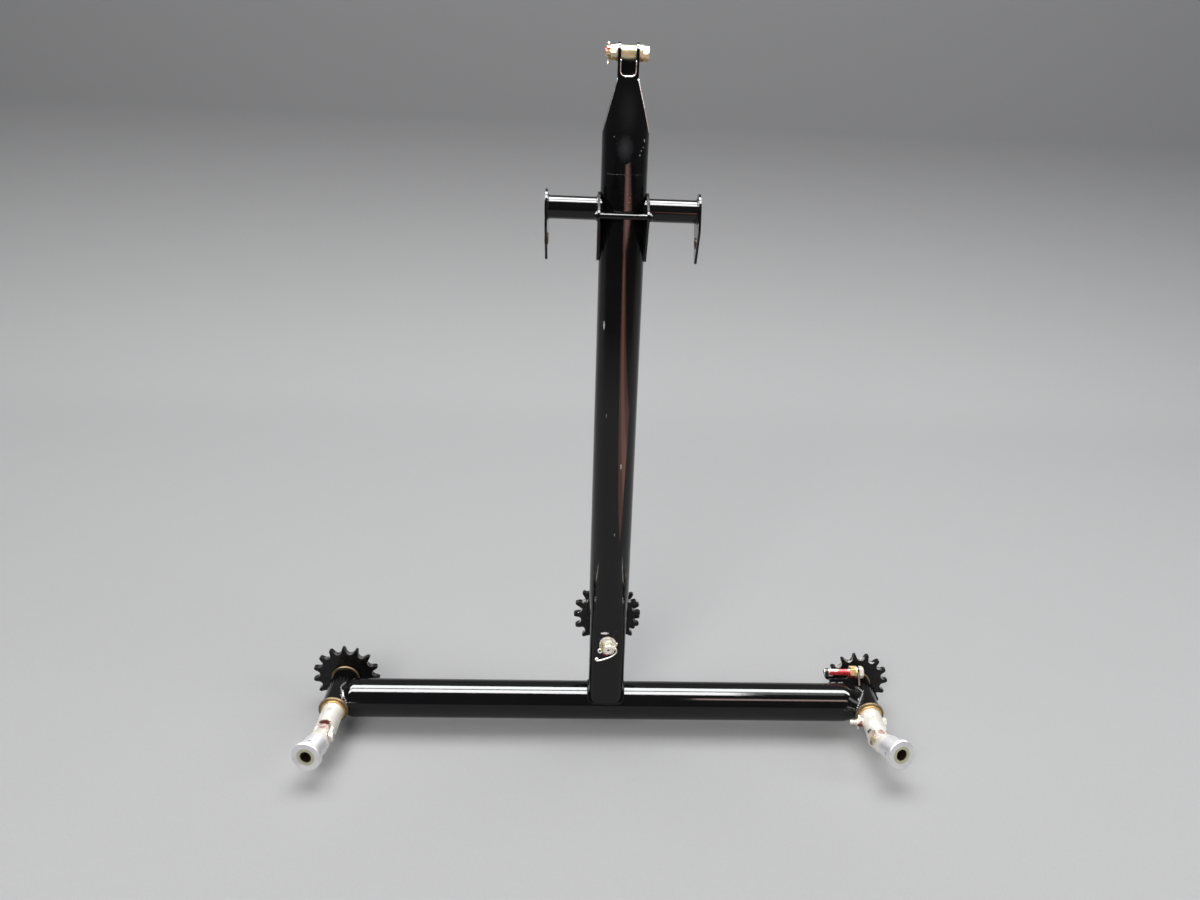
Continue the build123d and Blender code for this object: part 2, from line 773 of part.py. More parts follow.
inner_yokes = {}
joint_blocks = {}
joint_pins = {}
outer_yokes = {}
adapters = {}
adapter_pins = {}
for side, sign in sides:
    inner, block, outer = joint_planes(side, sign)
    sleeve_length = joint_distance - yoke_start

    with BuildPart() as inner_yoke:
        add(yoke_end(inner, True, sleeve_length, -1))
        with BuildSketch(inner.offset(-sleeve_length)):
            Circle(shaft_od / 2 + press_gap)
        extrude(amount=shaft_front_end - yoke_start + side_play, mode=Mode.SUBTRACT)
        # Flush pin from above on the left, bolt from the side on the right
        fastener_plane = turned(inner.offset(yoke_bolt_distance - joint_distance), x_angle=90)
        fastener_radius = yoke_pin_diameter / 2 if side == "left" else yoke_bolt_diameter / 2 + bolt_gap
        with BuildSketch(fastener_plane):
            Circle(fastener_radius + press_gap)
        extrude(amount=yoke_od, both=True, mode=Mode.SUBTRACT)
    inner_yokes[side] = inner_yoke.part

    with BuildPart() as joint_block:
        with BuildSketch(block.offset(-block_size / 2)):
            Rectangle(block_size, block_size)
        extrude(amount=block_size)
        fillet(joint_block.edges(), block_edge_radius)
        with BuildSketch(turned(block, y_angle=90)):
            Circle(joint_pin_diameter / 2 + press_gap)
        extrude(amount=block_size, both=True, mode=Mode.SUBTRACT)
        with BuildSketch(turned(block, x_angle=90)):
            Circle(joint_pin_diameter / 2 + press_gap)
        extrude(amount=block_size, both=True, mode=Mode.SUBTRACT)
    joint_blocks[side] = joint_block.part

    pin_reach = yoke_od / 2 - joint_pin_recess
    stub_start = joint_pin_diameter / 2 + press_gap
    with BuildPart() as cross_pins:
        with BuildSketch(turned(block, y_angle=90).offset(-pin_reach)):
            Circle(joint_pin_diameter / 2)
        extrude(amount=2 * pin_reach)
        for turn in (90, -90):
            with BuildSketch(turned(block, x_angle=turn).offset(stub_start)):
                Circle(joint_pin_diameter / 2)
            extrude(amount=pin_reach - stub_start)
    joint_pins[side] = cross_pins.part

    # Outer yoke: its ears on the second pin, and a hollow stem through the adapter
    with BuildPart() as outer_yoke:
        add(yoke_end(outer, False, adapter_start - side_play, 1))
        with BuildSketch(outer.offset(adapter_start - side_play)):
            Circle(stem_od / 2)
        extrude(amount=adapter_end - adapter_start + side_play)
        with BuildSketch(outer.offset(stem_bore_bottom)):
            Circle(stem_bore / 2)
        extrude(amount=adapter_end - stem_bore_bottom, mode=Mode.SUBTRACT)
        pin_plane = turned(outer.offset(adapter_pin_distance), x_angle=90)
        with BuildSketch(pin_plane):
            Circle(adapter_pin_diameter / 2 + press_gap)
        extrude(amount=stem_od, both=True, mode=Mode.SUBTRACT)
    outer_yokes[side] = outer_yoke.part

    # Adapter: a turned collar with a rim at its open end
    with BuildPart() as adapter:
        body_radius = adapter_od / 2
        rim_radius = adapter_rim_od / 2
        rim_start = adapter_end - adapter_rim_length
        bore_radius = stem_od / 2 + press_gap
        with BuildSketch(turned(outer, x_angle=90)):
            with BuildLine():
                Polyline(
                    (bore_radius, adapter_start),
                    (body_radius - 1.2, adapter_start),
                    (body_radius, adapter_start + 1.2),
                    (body_radius, rim_start - adapter_rim_slope),
                    (rim_radius, rim_start),
                    (rim_radius, adapter_end - 0.8),
                    (rim_radius - 0.8, adapter_end),
                    (bore_radius, adapter_end),
                    close=True,
                )
            make_face()
        revolve(axis=Axis(outer.origin, outer.z_dir))
        with BuildSketch(pin_plane):
            Circle(adapter_pin_diameter / 2 + press_gap)
        extrude(amount=adapter_rim_od, both=True, mode=Mode.SUBTRACT)
    adapters[side] = adapter.part

    # Two short pins that hold the adapter on the stem
    with BuildPart() as adapter_pin:
        for way in (1, -1):
            with BuildSketch(pin_plane.offset(way * (stem_bore / 2 + 0.3))):
                Circle(adapter_pin_diameter / 2)
            extrude(amount=way * (adapter_od / 2 - adapter_pin_recess - stem_bore / 2 - 0.3))
    adapter_pins[side] = adapter_pin.part

# Flush pin of the left inner yoke
with BuildPart() as yoke_pin_left:
    pin_bottom = bar_z - yoke_od / 2 + joint_pin_recess
    with BuildSketch(Plane(origin=(-shaft_x, -yoke_bolt_distance, pin_bottom), z_dir=(0, 0, 1))):
        Circle(yoke_pin_diameter / 2)
    extrude(amount=yoke_od - 2 * joint_pin_recess)

# Bolt, nut and split pin of the right inner yoke
yoke_bolt_seat = sideways(shaft_x + yoke_od / 2 + 0.1, -yoke_bolt_distance, bar_z, -1)
yoke_grip = yoke_od + 0.2
yoke_bolt_length = yoke_grip + yoke_nut_height + yoke_bolt_end
yoke_hole = yoke_grip + cotter_level(yoke_nut_height)
yoke_bolt_right = drilled_bolt(
    yoke_bolt_seat, yoke_bolt_diameter, yoke_hex, yoke_head_height, yoke_bolt_length, yoke_hole, yoke_cotter_turn
)
yoke_nut_right = castle_nut(
    yoke_bolt_seat.offset(yoke_grip), yoke_bolt_diameter, yoke_hex, yoke_nut_height, yoke_cotter_turn
)

# Fork bolt along X with its washers, bushing, castle nut and split pin
ear_face = fork_width / 2 + weld_gap
fork_head_seat = sideways(ear_face + 2 * washer_thickness, 0, pivot_to_fork_bolt, -1)
fork_grip = 2 * ear_face + 3 * washer_thickness
fork_hole = fork_grip + cotter_level(fork_nut_height)
fork_bolt = drilled_bolt(
    fork_head_seat,
    fork_bolt_diameter,
    fork_hex,
    fork_head_height,
    fork_grip + fork_nut_height + bolt_end_past_nut,
    fork_hole,
    fork_cotter_turn,
)
fork_nut = castle_nut(
    fork_head_seat.offset(fork_grip), fork_bolt_diameter, fork_hex, fork_nut_height, fork_cotter_turn
)
with BuildPart() as fork_washers:
    for position in (ear_face, ear_face + washer_thickness, -ear_face - washer_thickness):
        add(
            washer(
                sideways(position, 0, pivot_to_fork_bolt),
                fork_bolt_diameter + 2 * bolt_gap,
                fork_hex * 1.16,
                washer_thickness - press_gap,
            )
        )
fork_bushing = washer(
    sideways(-fork_gap / 2 + side_play, 0, pivot_to_fork_bolt),
    fork_bolt_diameter + 2 * bolt_gap,
    fork_hex * 1.04,
    fork_gap - 2 * side_play,
)

# Idler bolt from behind, with spacer, sleeve, washers, castle nut and split pin
foot_face = foot_width / 2
front_idler_y = chain_plane_y - (sprocket_thickness + idler_split) / 2
rear_idler_y = chain_plane_y + (sprocket_thickness + idler_split) / 2
stack_rear = rear_idler_y + sprocket_thickness / 2 + side_play
idler_head_seat = facing(0, stack_rear + washer_thickness, idler_z)
idler_grip = stack_rear + foot_face + 2 * washer_thickness + press_gap
idler_hole = idler_grip + cotter_level(idler_nut_height)
idler_bolt = drilled_bolt(
    idler_head_seat,
    idler_bolt_diameter,
    idler_hex,
    idler_head_height,
    idler_grip + idler_nut_height + bolt_end_past_nut,
    idler_hole,
    idler_cotter_turn,
)
idler_nut = castle_nut(
    idler_head_seat.offset(idler_grip), idler_bolt_diameter, idler_hex, idler_nut_height, idler_cotter_turn
)
with BuildPart() as idler_washers:
    for position, thickness in (
        (stack_rear + washer_thickness - press_gap, washer_thickness - 2 * press_gap),
        (chain_plane_y + idler_split / 2 - side_play, idler_split - 2 * side_play),
        (-foot_face - press_gap, washer_thickness - press_gap),
    ):
        add(washer(facing(0, position, idler_z), idler_bolt_diameter + 2 * bolt_gap, spacer_od, thickness))
spacer_end = front_idler_y - sprocket_thickness / 2 - side_play
idler_spacer = washer(
    facing(0, spacer_end, idler_z),
    idler_bolt_diameter + 2 * bolt_gap,
    spacer_od,
    spacer_end - foot_face - weld_gap,
)
idler_sleeve = washer(
    facing(0, foot_face - column_wall - foot_crown - weld_gap, idler_z),
    idler_bolt_diameter + 2 * bolt_gap,
    sleeve_od,
    2 * (foot_face - column_wall - foot_crown - weld_gap),
)
idler_sprockets = {}
idler_bushes = {}
for order, (name, plane_y) in enumerate((("front", front_idler_y), ("rear", rear_idler_y))):
    phase = idler_tooth_phase + order * idler_phase_step
    idler_sprockets[name] = toothed_disc(0, plane_y, idler_z, phase, idler_bush_od + 2 * press_gap)
    idler_bushes[name] = washer(
        facing(0, plane_y + sprocket_thickness / 2, idler_z),
        idler_bolt_diameter + 2 * running_gap,
        idler_bush_od,
        sprocket_thickness,
    )

# Stop bracket: a strip along the crossbar with an ear that holds the stop bolt
ear_x = shaft_x + stop_ear_x
with BuildPart() as stop_bracket:
    stop_distance = sqrt(stop_bolt_z**2 + stop_bolt_y**2)
    strip_angle = degrees(asin(stop_bolt_z / stop_distance))
    strip_top = stop_distance - stop_washer_od / 2 - stop_strip_gap
    with BuildSketch(sideways(ear_x + stop_ear_thickness - stop_strip_length, 0, bar_z)):
        with Locations(Location((0, 0, 0), (0, 0, strip_angle))):
            with Locations((strip_top / 2, 0)):
                Rectangle(strip_top, stop_strip_thickness)
    extrude(amount=stop_strip_length)
    with BuildSketch(sideways(ear_x, 0, bar_z)):
        with Locations((stop_bolt_y, stop_bolt_z)):
            Circle(stop_ear_radius)
        with Locations((stop_bolt_y * 0.6, stop_bolt_z * 0.5)):
            Circle(stop_ear_radius)
        make_hull()
    extrude(amount=stop_ear_thickness)
    add(bar_solid(-weld_gap), mode=Mode.SUBTRACT)
    with BuildSketch(facing(shaft_x, 0, bar_z)):
        Circle(housing_od / 2 + weld_gap)
    extrude(amount=bar_od, both=True, mode=Mode.SUBTRACT)
    with BuildSketch(sideways(ear_x, stop_bolt_y, bar_z + stop_bolt_z)):
        Circle(stop_bolt_diameter / 2 + bolt_gap)
    extrude(amount=stop_strip_length, both=True, mode=Mode.SUBTRACT)

# Stop bolt: its head faces the lug, its long end carries a socket cap
stop_seat = sideways(ear_x + stop_ear_thickness, stop_bolt_y, bar_z + stop_bolt_z, -1)
with BuildPart() as stop_bolt:
    add(hex_bolt(stop_seat, stop_bolt_diameter, stop_hex, stop_head_height, stop_shank_length))
    with BuildSketch(stop_seat.offset(stop_shank_length)):
        Circle(stop_end_diameter / 2)
    extrude(amount=stop_end_length)
    with BuildSketch(stop_seat.offset(stop_shank_length + stop_end_length)):
        RegularPolygon(stop_end_diameter * 0.27, 6)
    extrude(amount=-stop_end_length * 0.6, mode=Mode.SUBTRACT)
stop_washer = washer(
    stop_seat.offset(stop_ear_thickness + press_gap),
    stop_bolt_diameter + 2 * bolt_gap,
    stop_washer_od,
    washer_thickness,
)
with BuildPart() as stop_nut:
    with BuildSketch(stop_seat.offset(stop_ear_thickness + washer_thickness + 2 * press_gap)):
        RegularPolygon(stop_hex / 2, 6, major_radius=False)
        Circle(stop_bolt_diameter / 2 + bolt_gap, mode=Mode.SUBTRACT)
    extrude(amount=stop_nut_height)

pieces = {
    "column_tube": column_tube.part,
    "crossbar_tube": crossbar_tube.part,
    "column_fork": column_fork.part,
    "pivot_tube": pivot_tube.part,
    "guard_rod": guard_rod.part,
    "guard_clips": guard_clips.part,
    "plate_bushes": plate_bushes.part,
    "shaft_bushes": shaft_bushes.part,
    "yoke_pin_left": yoke_pin_left.part,
    "yoke_bolt_right": yoke_bolt_right,
    "yoke_nut_right": yoke_nut_right,
    "yoke_cotter_right": cotter(yoke_bolt_seat, yoke_hex * crown_share, yoke_hole, yoke_cotter_turn),
    "fork_bolt": fork_bolt,
    "fork_nut": fork_nut,
    "fork_cotter": cotter(fork_head_seat, fork_hex * crown_share, fork_hole, fork_cotter_turn),
    "fork_washers": fork_washers.part,
    "fork_bushing": fork_bushing,
    "idler_bolt": idler_bolt,
    "idler_nut": idler_nut,
    "idler_cotter": cotter(idler_head_seat, idler_hex * crown_share, idler_hole, idler_cotter_turn),
    "idler_washers": idler_washers.part,
    "idler_spacer": idler_spacer,
    "idler_sleeve": idler_sleeve,
    "stop_bracket": stop_bracket.part,
    "stop_bolt": stop_bolt.part,
    "stop_washer": stop_washer,
    "stop_nut": stop_nut.part,
}
for name in ("front", "rear"):
    pieces[f"idler_sprocket_{name}"] = idler_sprockets[name]
    pieces[f"idler_bush_{name}"] = idler_bushes[name]
for side, sign in sides:
    pieces[f"end_plate_{side}"] = end_plates[side]
    pieces[f"gusset_plate_{side}"] = gusset_plates[side]
    pieces[f"pivot_bush_{side}"] = pivot_bushes[side]
    pieces[f"bearing_housing_{side}"] = housings[side]
    pieces[f"wheel_shaft_{side}"] = shafts[side]
    pieces[f"thrust_washer_{side}"] = thrust_washers[side]
    pieces[f"sprocket_{side}"] = sprockets[side]
    pieces[f"sprocket_pin_{side}"] = sprocket_pins[side]
    pieces[f"inner_yoke_{side}"] = inner_yokes[side]
    pieces[f"joint_block_{side}"] = joint_blocks[side]
    pieces[f"joint_pins_{side}"] = joint_pins[side]
    pieces[f"outer_yoke_{side}"] = outer_yokes[side]
    pieces[f"adapter_{side}"] = adapters[side]
    pieces[f"adapter_pins_{side}"] = adapter_pins[side]

for name, piece in pieces.items():
    piece.label = name
    export_step(piece, f"parts/{name}.step")
print(len(pieces), "pieces written")
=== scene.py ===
import json
import math

import bmesh
import bpy
from mathutils import Matrix, Vector


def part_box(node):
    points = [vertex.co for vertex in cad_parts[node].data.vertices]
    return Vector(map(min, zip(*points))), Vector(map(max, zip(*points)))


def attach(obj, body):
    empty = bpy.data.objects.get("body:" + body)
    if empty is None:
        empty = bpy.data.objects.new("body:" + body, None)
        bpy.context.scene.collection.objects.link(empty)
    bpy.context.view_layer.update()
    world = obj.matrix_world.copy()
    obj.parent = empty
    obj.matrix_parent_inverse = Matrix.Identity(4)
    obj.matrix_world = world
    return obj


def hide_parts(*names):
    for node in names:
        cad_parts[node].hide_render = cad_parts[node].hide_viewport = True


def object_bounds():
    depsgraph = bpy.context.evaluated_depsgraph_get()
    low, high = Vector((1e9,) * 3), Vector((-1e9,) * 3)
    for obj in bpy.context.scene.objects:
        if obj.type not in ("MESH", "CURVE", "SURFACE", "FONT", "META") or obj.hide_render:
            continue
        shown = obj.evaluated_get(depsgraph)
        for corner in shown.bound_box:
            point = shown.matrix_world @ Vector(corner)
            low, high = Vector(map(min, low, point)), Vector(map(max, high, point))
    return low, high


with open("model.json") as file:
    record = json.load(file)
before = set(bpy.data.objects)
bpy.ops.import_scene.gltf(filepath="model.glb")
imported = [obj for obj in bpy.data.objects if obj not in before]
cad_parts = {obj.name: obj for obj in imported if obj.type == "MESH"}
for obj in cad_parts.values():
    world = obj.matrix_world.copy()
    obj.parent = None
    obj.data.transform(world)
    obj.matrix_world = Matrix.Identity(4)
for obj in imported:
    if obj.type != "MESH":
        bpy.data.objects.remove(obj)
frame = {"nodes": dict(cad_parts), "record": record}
nodes = frame["nodes"]
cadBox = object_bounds()
mm = 0.001

# places that several pieces share, read from the frame
barZ = sum(v.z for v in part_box("crossbar_tube")) / 2
shaftX = sum(v.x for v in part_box("bearing_housing_right")) / 2
idlerZ = sum(v.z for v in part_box("idler_spacer")) / 2
barRadius = (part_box("crossbar_tube")[1].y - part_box("crossbar_tube")[0].y) / 2
housingRadius = (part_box("bearing_housing_right")[1].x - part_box("bearing_housing_right")[0].x) / 2
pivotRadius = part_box("pivot_tube")[1].z
print("frame loaded,", len(nodes), "nodes")


def addNode(tree, kind, inputs=None, **settings):
    node = tree.nodes.new(kind)
    for key, value in settings.items():
        setattr(node, key, value)
    for key, value in (inputs or {}).items():
        if isinstance(value, bpy.types.NodeSocket):
            tree.links.new(value, node.inputs[key])
        else:
            node.inputs[key].default_value = value
    return node


def newMaterial(name, shader):
    material = bpy.data.materials.new(name)
    material.use_nodes = True
    tree = material.node_tree
    bsdf = tree.nodes["Principled BSDF"]
    for key, value in shader.items():
        bsdf.inputs[key].default_value = value
    where = addNode(tree, "ShaderNodeTexCoord").outputs["Object"]
    return material, tree, bsdf, where


def noise(tree, where, scale, detail=3.0, roughness=0.55):
    inputs = {"Vector": where, "Scale": scale, "Detail": detail, "Roughness": roughness}
    return addNode(tree, "ShaderNodeTexNoise", inputs).outputs["Fac"]


def stretched(tree, where, scale, turn=(0, 0, 0)):
    inputs = {"Vector": where, "Scale": scale, "Rotation": turn}
    return addNode(tree, "ShaderNodeMapping", inputs).outputs["Vector"]


def between(tree, value, low, high, toLow=0.0, toHigh=1.0):
    inputs = {"Value": value, "From Min": low, "From Max": high, "To Min": toLow, "To Max": toHigh}
    return addNode(tree, "ShaderNodeMapRange", inputs).outputs["Result"]


def calc(tree, operation, first, second=0.0):
    return addNode(tree, "ShaderNodeMath", {0: first, 1: second}, operation=operation).outputs["Value"]


def blendColour(tree, factor, first, second):
    node = addNode(tree, "ShaderNodeMix", data_type="RGBA")
    for socket, value in zip((node.inputs[0], node.inputs[6], node.inputs[7]), (factor, first, second)):
        if isinstance(value, bpy.types.NodeSocket):
            tree.links.new(value, socket)
        elif isinstance(value, tuple):
            socket.default_value = (*value, 1.0)
        else:
            socket.default_value = value
    return node.outputs[2]


def bump(tree, bsdf, height, strength, distance, edge=0.25 * mm):
    # no real edge is sharp: paint, plating and handling leave each one a small radius
    softened = addNode(tree, "ShaderNodeBevel", {"Radius": edge}, samples=4).outputs["Normal"]
    inputs = {"Height": height, "Strength": strength, "Distance": distance, "Normal": softened}
    tree.links.new(addNode(tree, "ShaderNodeBump", inputs).outputs["Normal"], bsdf.inputs["Normal"])


def axisPlaces(tree, where, centre, axis):
    # how far a point lies along an axis and how far out from it
    back = tuple(-v for v in centre)
    centred = addNode(tree, "ShaderNodeVectorMath", {0: where, 1: back}, operation="ADD").outputs["Vector"]
    dot = addNode(tree, "ShaderNodeVectorMath", {0: centred, 1: tuple(axis)}, operation="DOT_PRODUCT")
    along = dot.outputs["Value"]
    onAxis = addNode(tree, "ShaderNodeVectorMath", {0: tuple(axis)}, operation="SCALE")
    tree.links.new(along, onAxis.inputs["Scale"])
    inputs = {0: centred, 1: onAxis.outputs["Vector"]}
    out = addNode(tree, "ShaderNodeVectorMath", inputs, operation="SUBTRACT").outputs["Vector"]
    return along, addNode(tree, "ShaderNodeVectorMath", {0: out}, operation="LENGTH").outputs["Value"]


def feed(tree, bsdf, **sockets):
    for key, value in sockets.items():
        tree.links.new(value, bsdf.inputs[key.replace("_", " ")])


markEdge = {"tearScale": 700.0, "solid": 0.82}


def addMarks(tree, where, colour, marks):
    # each mark: place and half sizes in millimetres, colour, how ragged its edge is,
    # and for a soft one how far out it stays solid
    for place, halfSize, tone, ragged, *solid in marks:
        middle, spread = [v * mm for v in place], [v * mm for v in halfSize]
        inputs = {"Vector": where, "Location": middle, "Scale": spread}
        centred = addNode(tree, "ShaderNodeMapping", inputs, vector_type="TEXTURE").outputs["Vector"]
        reach = addNode(tree, "ShaderNodeVectorMath", {0: centred}, operation="LENGTH").outputs["Value"]
        torn = between(tree, noise(tree, where, markEdge["tearScale"], 3.0), 0.3, 0.7, -ragged, ragged)
        firm = solid[0] if solid else markEdge["solid"]
        fade = between(tree, calc(tree, "ADD", reach, torn), 1.0, firm)
        colour = blendColour(tree, fade, colour, tone)
    return colour


enamelLook = {
    "shader": {"Specular IOR Level": 0.32, "IOR": 1.5},
    "deep": (0.0030, 0.0030, 0.0036),
    "warm": (0.0052, 0.0046, 0.0042),
    "dust": (0.12, 0.116, 0.11),
    "dustShare": 0.5,
    "hair": (0.2, 0.195, 0.19),
    "hairShare": 0.22,
    "gloss": 0.035,
    "dull": 0.11,
    "cloudScale": 26.0,
    "grainScale": 1500.0,
    "patchScale": 34.0,
    "hairsAlong": ((900, 900, 26), (0.1, 0.05, 0)),
    "hairsAcross": ((24, 700, 900), (0, 0.35, 0.2)),
    "hairPatchScale": 18.0,
    "glossScale": 60.0,
    "peelScale": 420.0,
    "peel": (0.16, 0.1 * mm),
    "edge": 0.5 * mm,
}
# the foot's weld is kept dull, out of the highlights
seamLook = {**enamelLook, "shader": {"Specular IOR Level": 0.06}, "gloss": 0.4, "dull": 0.6}


def glossEnamel(name, look, marks=()):
    material, tree, bsdf, where = newMaterial(name, look["shader"])
    cloud = noise(tree, where, look["cloudScale"], 4.0)
    paint = blendColour(tree, between(tree, cloud, 0.35, 0.7), look["deep"], look["warm"])
    # grains of dust that lie on the paint, and hair scratches along and round the tubes
    grains = between(tree, noise(tree, where, look["grainScale"], 2.0), 0.735, 0.8)
    patches = between(tree, noise(tree, where, look["patchScale"], 2.0), 0.45, 0.7)
    dusty = calc(tree, "MULTIPLY", calc(tree, "MULTIPLY", grains, patches), look["dustShare"])
    along = noise(tree, stretched(tree, where, *look["hairsAlong"]), 1.0, 2.0)
    across = noise(tree, stretched(tree, where, *look["hairsAcross"]), 1.0, 2.0)
    hairs = calc(tree, "MAXIMUM", between(tree, along, 0.73, 0.78), between(tree, across, 0.74, 0.79))
    hairPatches = between(tree, noise(tree, where, look["hairPatchScale"]), 0.5, 0.66)
    marked = calc(tree, "MULTIPLY", hairs, hairPatches)
    colour = blendColour(tree, dusty, paint, look["dust"])
    colour = blendColour(tree, calc(tree, "MULTIPLY", marked, look["hairShare"]), colour, look["hair"])
    colour = addMarks(tree, where, colour, marks)
    polish = noise(tree, where, look["glossScale"], 5.0)
    rough = between(tree, polish, 0.3, 0.75, look["gloss"], look["dull"])
    rough = calc(tree, "ADD", rough, calc(tree, "MULTIPLY", calc(tree, "MAXIMUM", dusty, marked), 0.35))
    feed(tree, bsdf, Base_Color=colour, Roughness=rough)
    orangePeel = noise(tree, where, look["peelScale"], 2.0)
    surface = calc(tree, "ADD", orangePeel, calc(tree, "MULTIPLY", marked, -0.4))
    bump(tree, bsdf, surface, *look["peel"], look["edge"])
    return material


plateLook = {
    "cream": {
        "pale": (0.92, 0.90, 0.84), "tint": (0.86, 0.82, 0.71),
        "deep": (0.52, 0.45, 0.34), "metal": 0.25, "gloss": 0.26,
    },
    "white": {
        "pale": (0.90, 0.88, 0.81), "tint": (0.80, 0.75, 0.62),
        "deep": (0.42, 0.33, 0.22), "metal": 0.3, "gloss": 0.22,
    },
    "olive": {
        "pale": (0.70, 0.66, 0.49), "tint": (0.46, 0.40, 0.22),
        "deep": (0.17, 0.12, 0.06), "metal": 0.7, "gloss": 0.24,
    },
    "yellow": {
        "pale": (0.80, 0.66, 0.34), "tint": (0.66, 0.46, 0.20),
        "deep": (0.30, 0.18, 0.09), "metal": 0.75, "gloss": 0.2,
    },
    "wire": {
        "pale": (0.84, 0.82, 0.75), "tint": (0.70, 0.66, 0.56),
        "deep": (0.34, 0.28, 0.22), "metal": 0.7, "gloss": 0.24,
    },
    "flange": {
        "pale": (0.22, 0.165, 0.095), "tint": (0.15, 0.105, 0.06),
        "deep": (0.06, 0.04, 0.02), "metal": 0.85, "gloss": 0.26,
    },
    # the fork's bushing: the olive plating darkened, a painted shade for where it sits inside the fork
    "shadedOlive": {
        "pale": (0.62, 0.58, 0.38), "tint": (0.40, 0.35, 0.18),
        "deep": (0.12, 0.09, 0.05), "metal": 0.7, "gloss": 0.24,
    },
    # the joint blocks: cream plating darkened to pinkish brown, a painted shade for the gap between the
    # yokes
    "block": {
        "pale": (0.62, 0.46, 0.42), "tint": (0.46, 0.30, 0.27),
        "deep": (0.20, 0.10, 0.08), "metal": 0.4, "gloss": 0.3,
    },
}
plateGrain = {
    "cloud": 95.0,
    "stain": 42.0,
    "specks": 1300.0,
    "polish": 180.0,
    "tooth": 1600.0,
    "relief": (0.18, 0.06 * mm),
}
# a hollow stem's finish: along runs from its mouth, negative inwards; the wall is past the bore's radius
boreLook = {
    "dark": (0.035, 0.020, 0.014),
    "darkAlong": (-0.2 * mm, -1.5 * mm),
    "rim": (0.36, 0.36, 0.19),
    "rimAlong": (-4.0 * mm, -3.0 * mm),
    "rimShare": 0.8,
    "wallFrom": 0.25 * mm,
    "wallTo": 0.1 * mm,
}


def platedSteel(name, look, marks=(), bore=None):
    material, tree, bsdf, where = newMaterial(name, {"Metallic": look["metal"]})
    cloud = noise(tree, where, plateGrain["cloud"], 4.0, 0.6)
    colour = blendColour(tree, between(tree, cloud, 0.38, 0.68), look["pale"], look["tint"])
    stain = between(tree, noise(tree, where, plateGrain["stain"], 5.0, 0.62), 0.6, 0.78)
    specks = between(tree, noise(tree, where, plateGrain["specks"], 2.0), 0.68, 0.76)
    dirt = calc(tree, "MAXIMUM", calc(tree, "MULTIPLY", stain, 0.45), calc(tree, "MULTIPLY", specks, 0.35))
    colour = addMarks(tree, where, blendColour(tree, dirt, colour, look["deep"]), marks)
    if bore:
        # an olive rim at the stem's mouth, then grease and shade inside it
        along, radius = axisPlaces(tree, where, bore["place"], bore["axis"])
        wallFrom, wallTo = bore["radius"] + boreLook["wallFrom"], bore["radius"] + boreLook["wallTo"]
        inside = between(tree, radius, wallFrom, wallTo)
        deep = between(tree, along, *boreLook["darkAlong"])
        rim = calc(tree, "MULTIPLY", between(tree, along, *boreLook["rimAlong"]), boreLook["rimShare"])
        colour = blendColour(tree, rim, colour, boreLook["rim"])
        colour = blendColour(tree, calc(tree, "MULTIPLY", inside, deep), colour, boreLook["dark"])
    polish = noise(tree, where, plateGrain["polish"], 4.0)
    rough = between(tree, polish, 0.3, 0.75, look["gloss"], look["gloss"] + 0.22)
    rough = calc(tree, "ADD", rough, calc(tree, "MULTIPLY", dirt, 0.3))
    feed(tree, bsdf, Base_Color=colour, Roughness=rough)
    tooth = noise(tree, where, plateGrain["tooth"], 2.0)
    surface = calc(tree, "ADD", tooth, calc(tree, "MULTIPLY", specks, -0.5))
    bump(tree, bsdf, surface, *plateGrain["relief"])
    return material


steelLook = {
    "steel": {"pale": (0.52, 0.51, 0.49), "deep": (0.26, 0.24, 0.22), "gloss": 0.24},
    "bronze": {"pale": (0.66, 0.46, 0.22), "deep": (0.30, 0.18, 0.08), "gloss": 0.24},
    "dark": {"pale": (0.16, 0.11, 0.06), "deep": (0.05, 0.035, 0.02), "gloss": 0.3},
    # bright metal for the fork's edge wires: partly rubbed paint, partly a painted highlight
    "rubbed": {"pale": (0.80, 0.79, 0.78), "deep": (0.50, 0.48, 0.46), "gloss": 0.2},
    # the joint pins and the sunk adapter pins are painted shade: dark, for where they sit between the
    # yokes and down in their holes
    "pin": {"pale": (0.30, 0.20, 0.18), "deep": (0.10, 0.05, 0.045), "gloss": 0.32},
    "sunk": {"pale": (0.08, 0.07, 0.07), "deep": (0.03, 0.025, 0.025), "gloss": 0.4},
}
steelGrain = {"fine": 1800, "coarse": 60, "stain": 70.0, "relief": (0.25, 0.03 * mm)}


def groundMetal(name, look, axis="Y"):
    material, tree, bsdf, where = newMaterial(name, {"Metallic": 1.0})
    fine = [steelGrain["fine"] if letter == axis else steelGrain["coarse"] for letter in "XYZ"]
    lines = noise(tree, stretched(tree, where, fine), 1.0, 3.0)
    stain = between(tree, noise(tree, where, steelGrain["stain"], 5.0), 0.5, 0.75)
    ridges = between(tree, lines, 0.55, 0.75, 0.0, 0.35)
    tone = calc(tree, "MAXIMUM", calc(tree, "MULTIPLY", stain, 0.8), ridges)
    feed(
        tree,
        bsdf,
        Base_Color=blendColour(tree, tone, look["pale"], look["deep"]),
        Roughness=between(tree, lines, 0.3, 0.7, look["gloss"], look["gloss"] + 0.2),
    )
    bump(tree, bsdf, lines, *steelGrain["relief"])
    return material


sprocketLook = {
    "black": (0.0045, 0.0045, 0.0045),
    "rubbed": (0.011, 0.010, 0.0095),
    "bare": (0.72, 0.70, 0.67),
    "grease": (0.007, 0.0052, 0.004),
    "wearFrom": 25.9 * mm,
    "wearTo": 30.6 * mm,
    "seatFade": 0.5 * mm,
    "rimFade": 1.6 * mm,
    "patchScale": 260.0,
    "rubScale": 70.0,
    "rubShare": 0.8,
    "greaseScale": 120.0,
    "greaseShare": 0.7,
    "glossScale": 210.0,
    "gloss": 0.2,
    "dull": 0.42,
    "castScale": 700.0,
    "relief": (0.2, 0.12 * mm),
    "edge": 0.12 * mm,
}
seatWear = {"left": 0.2, "right": 0.95, "idler": 0.95}


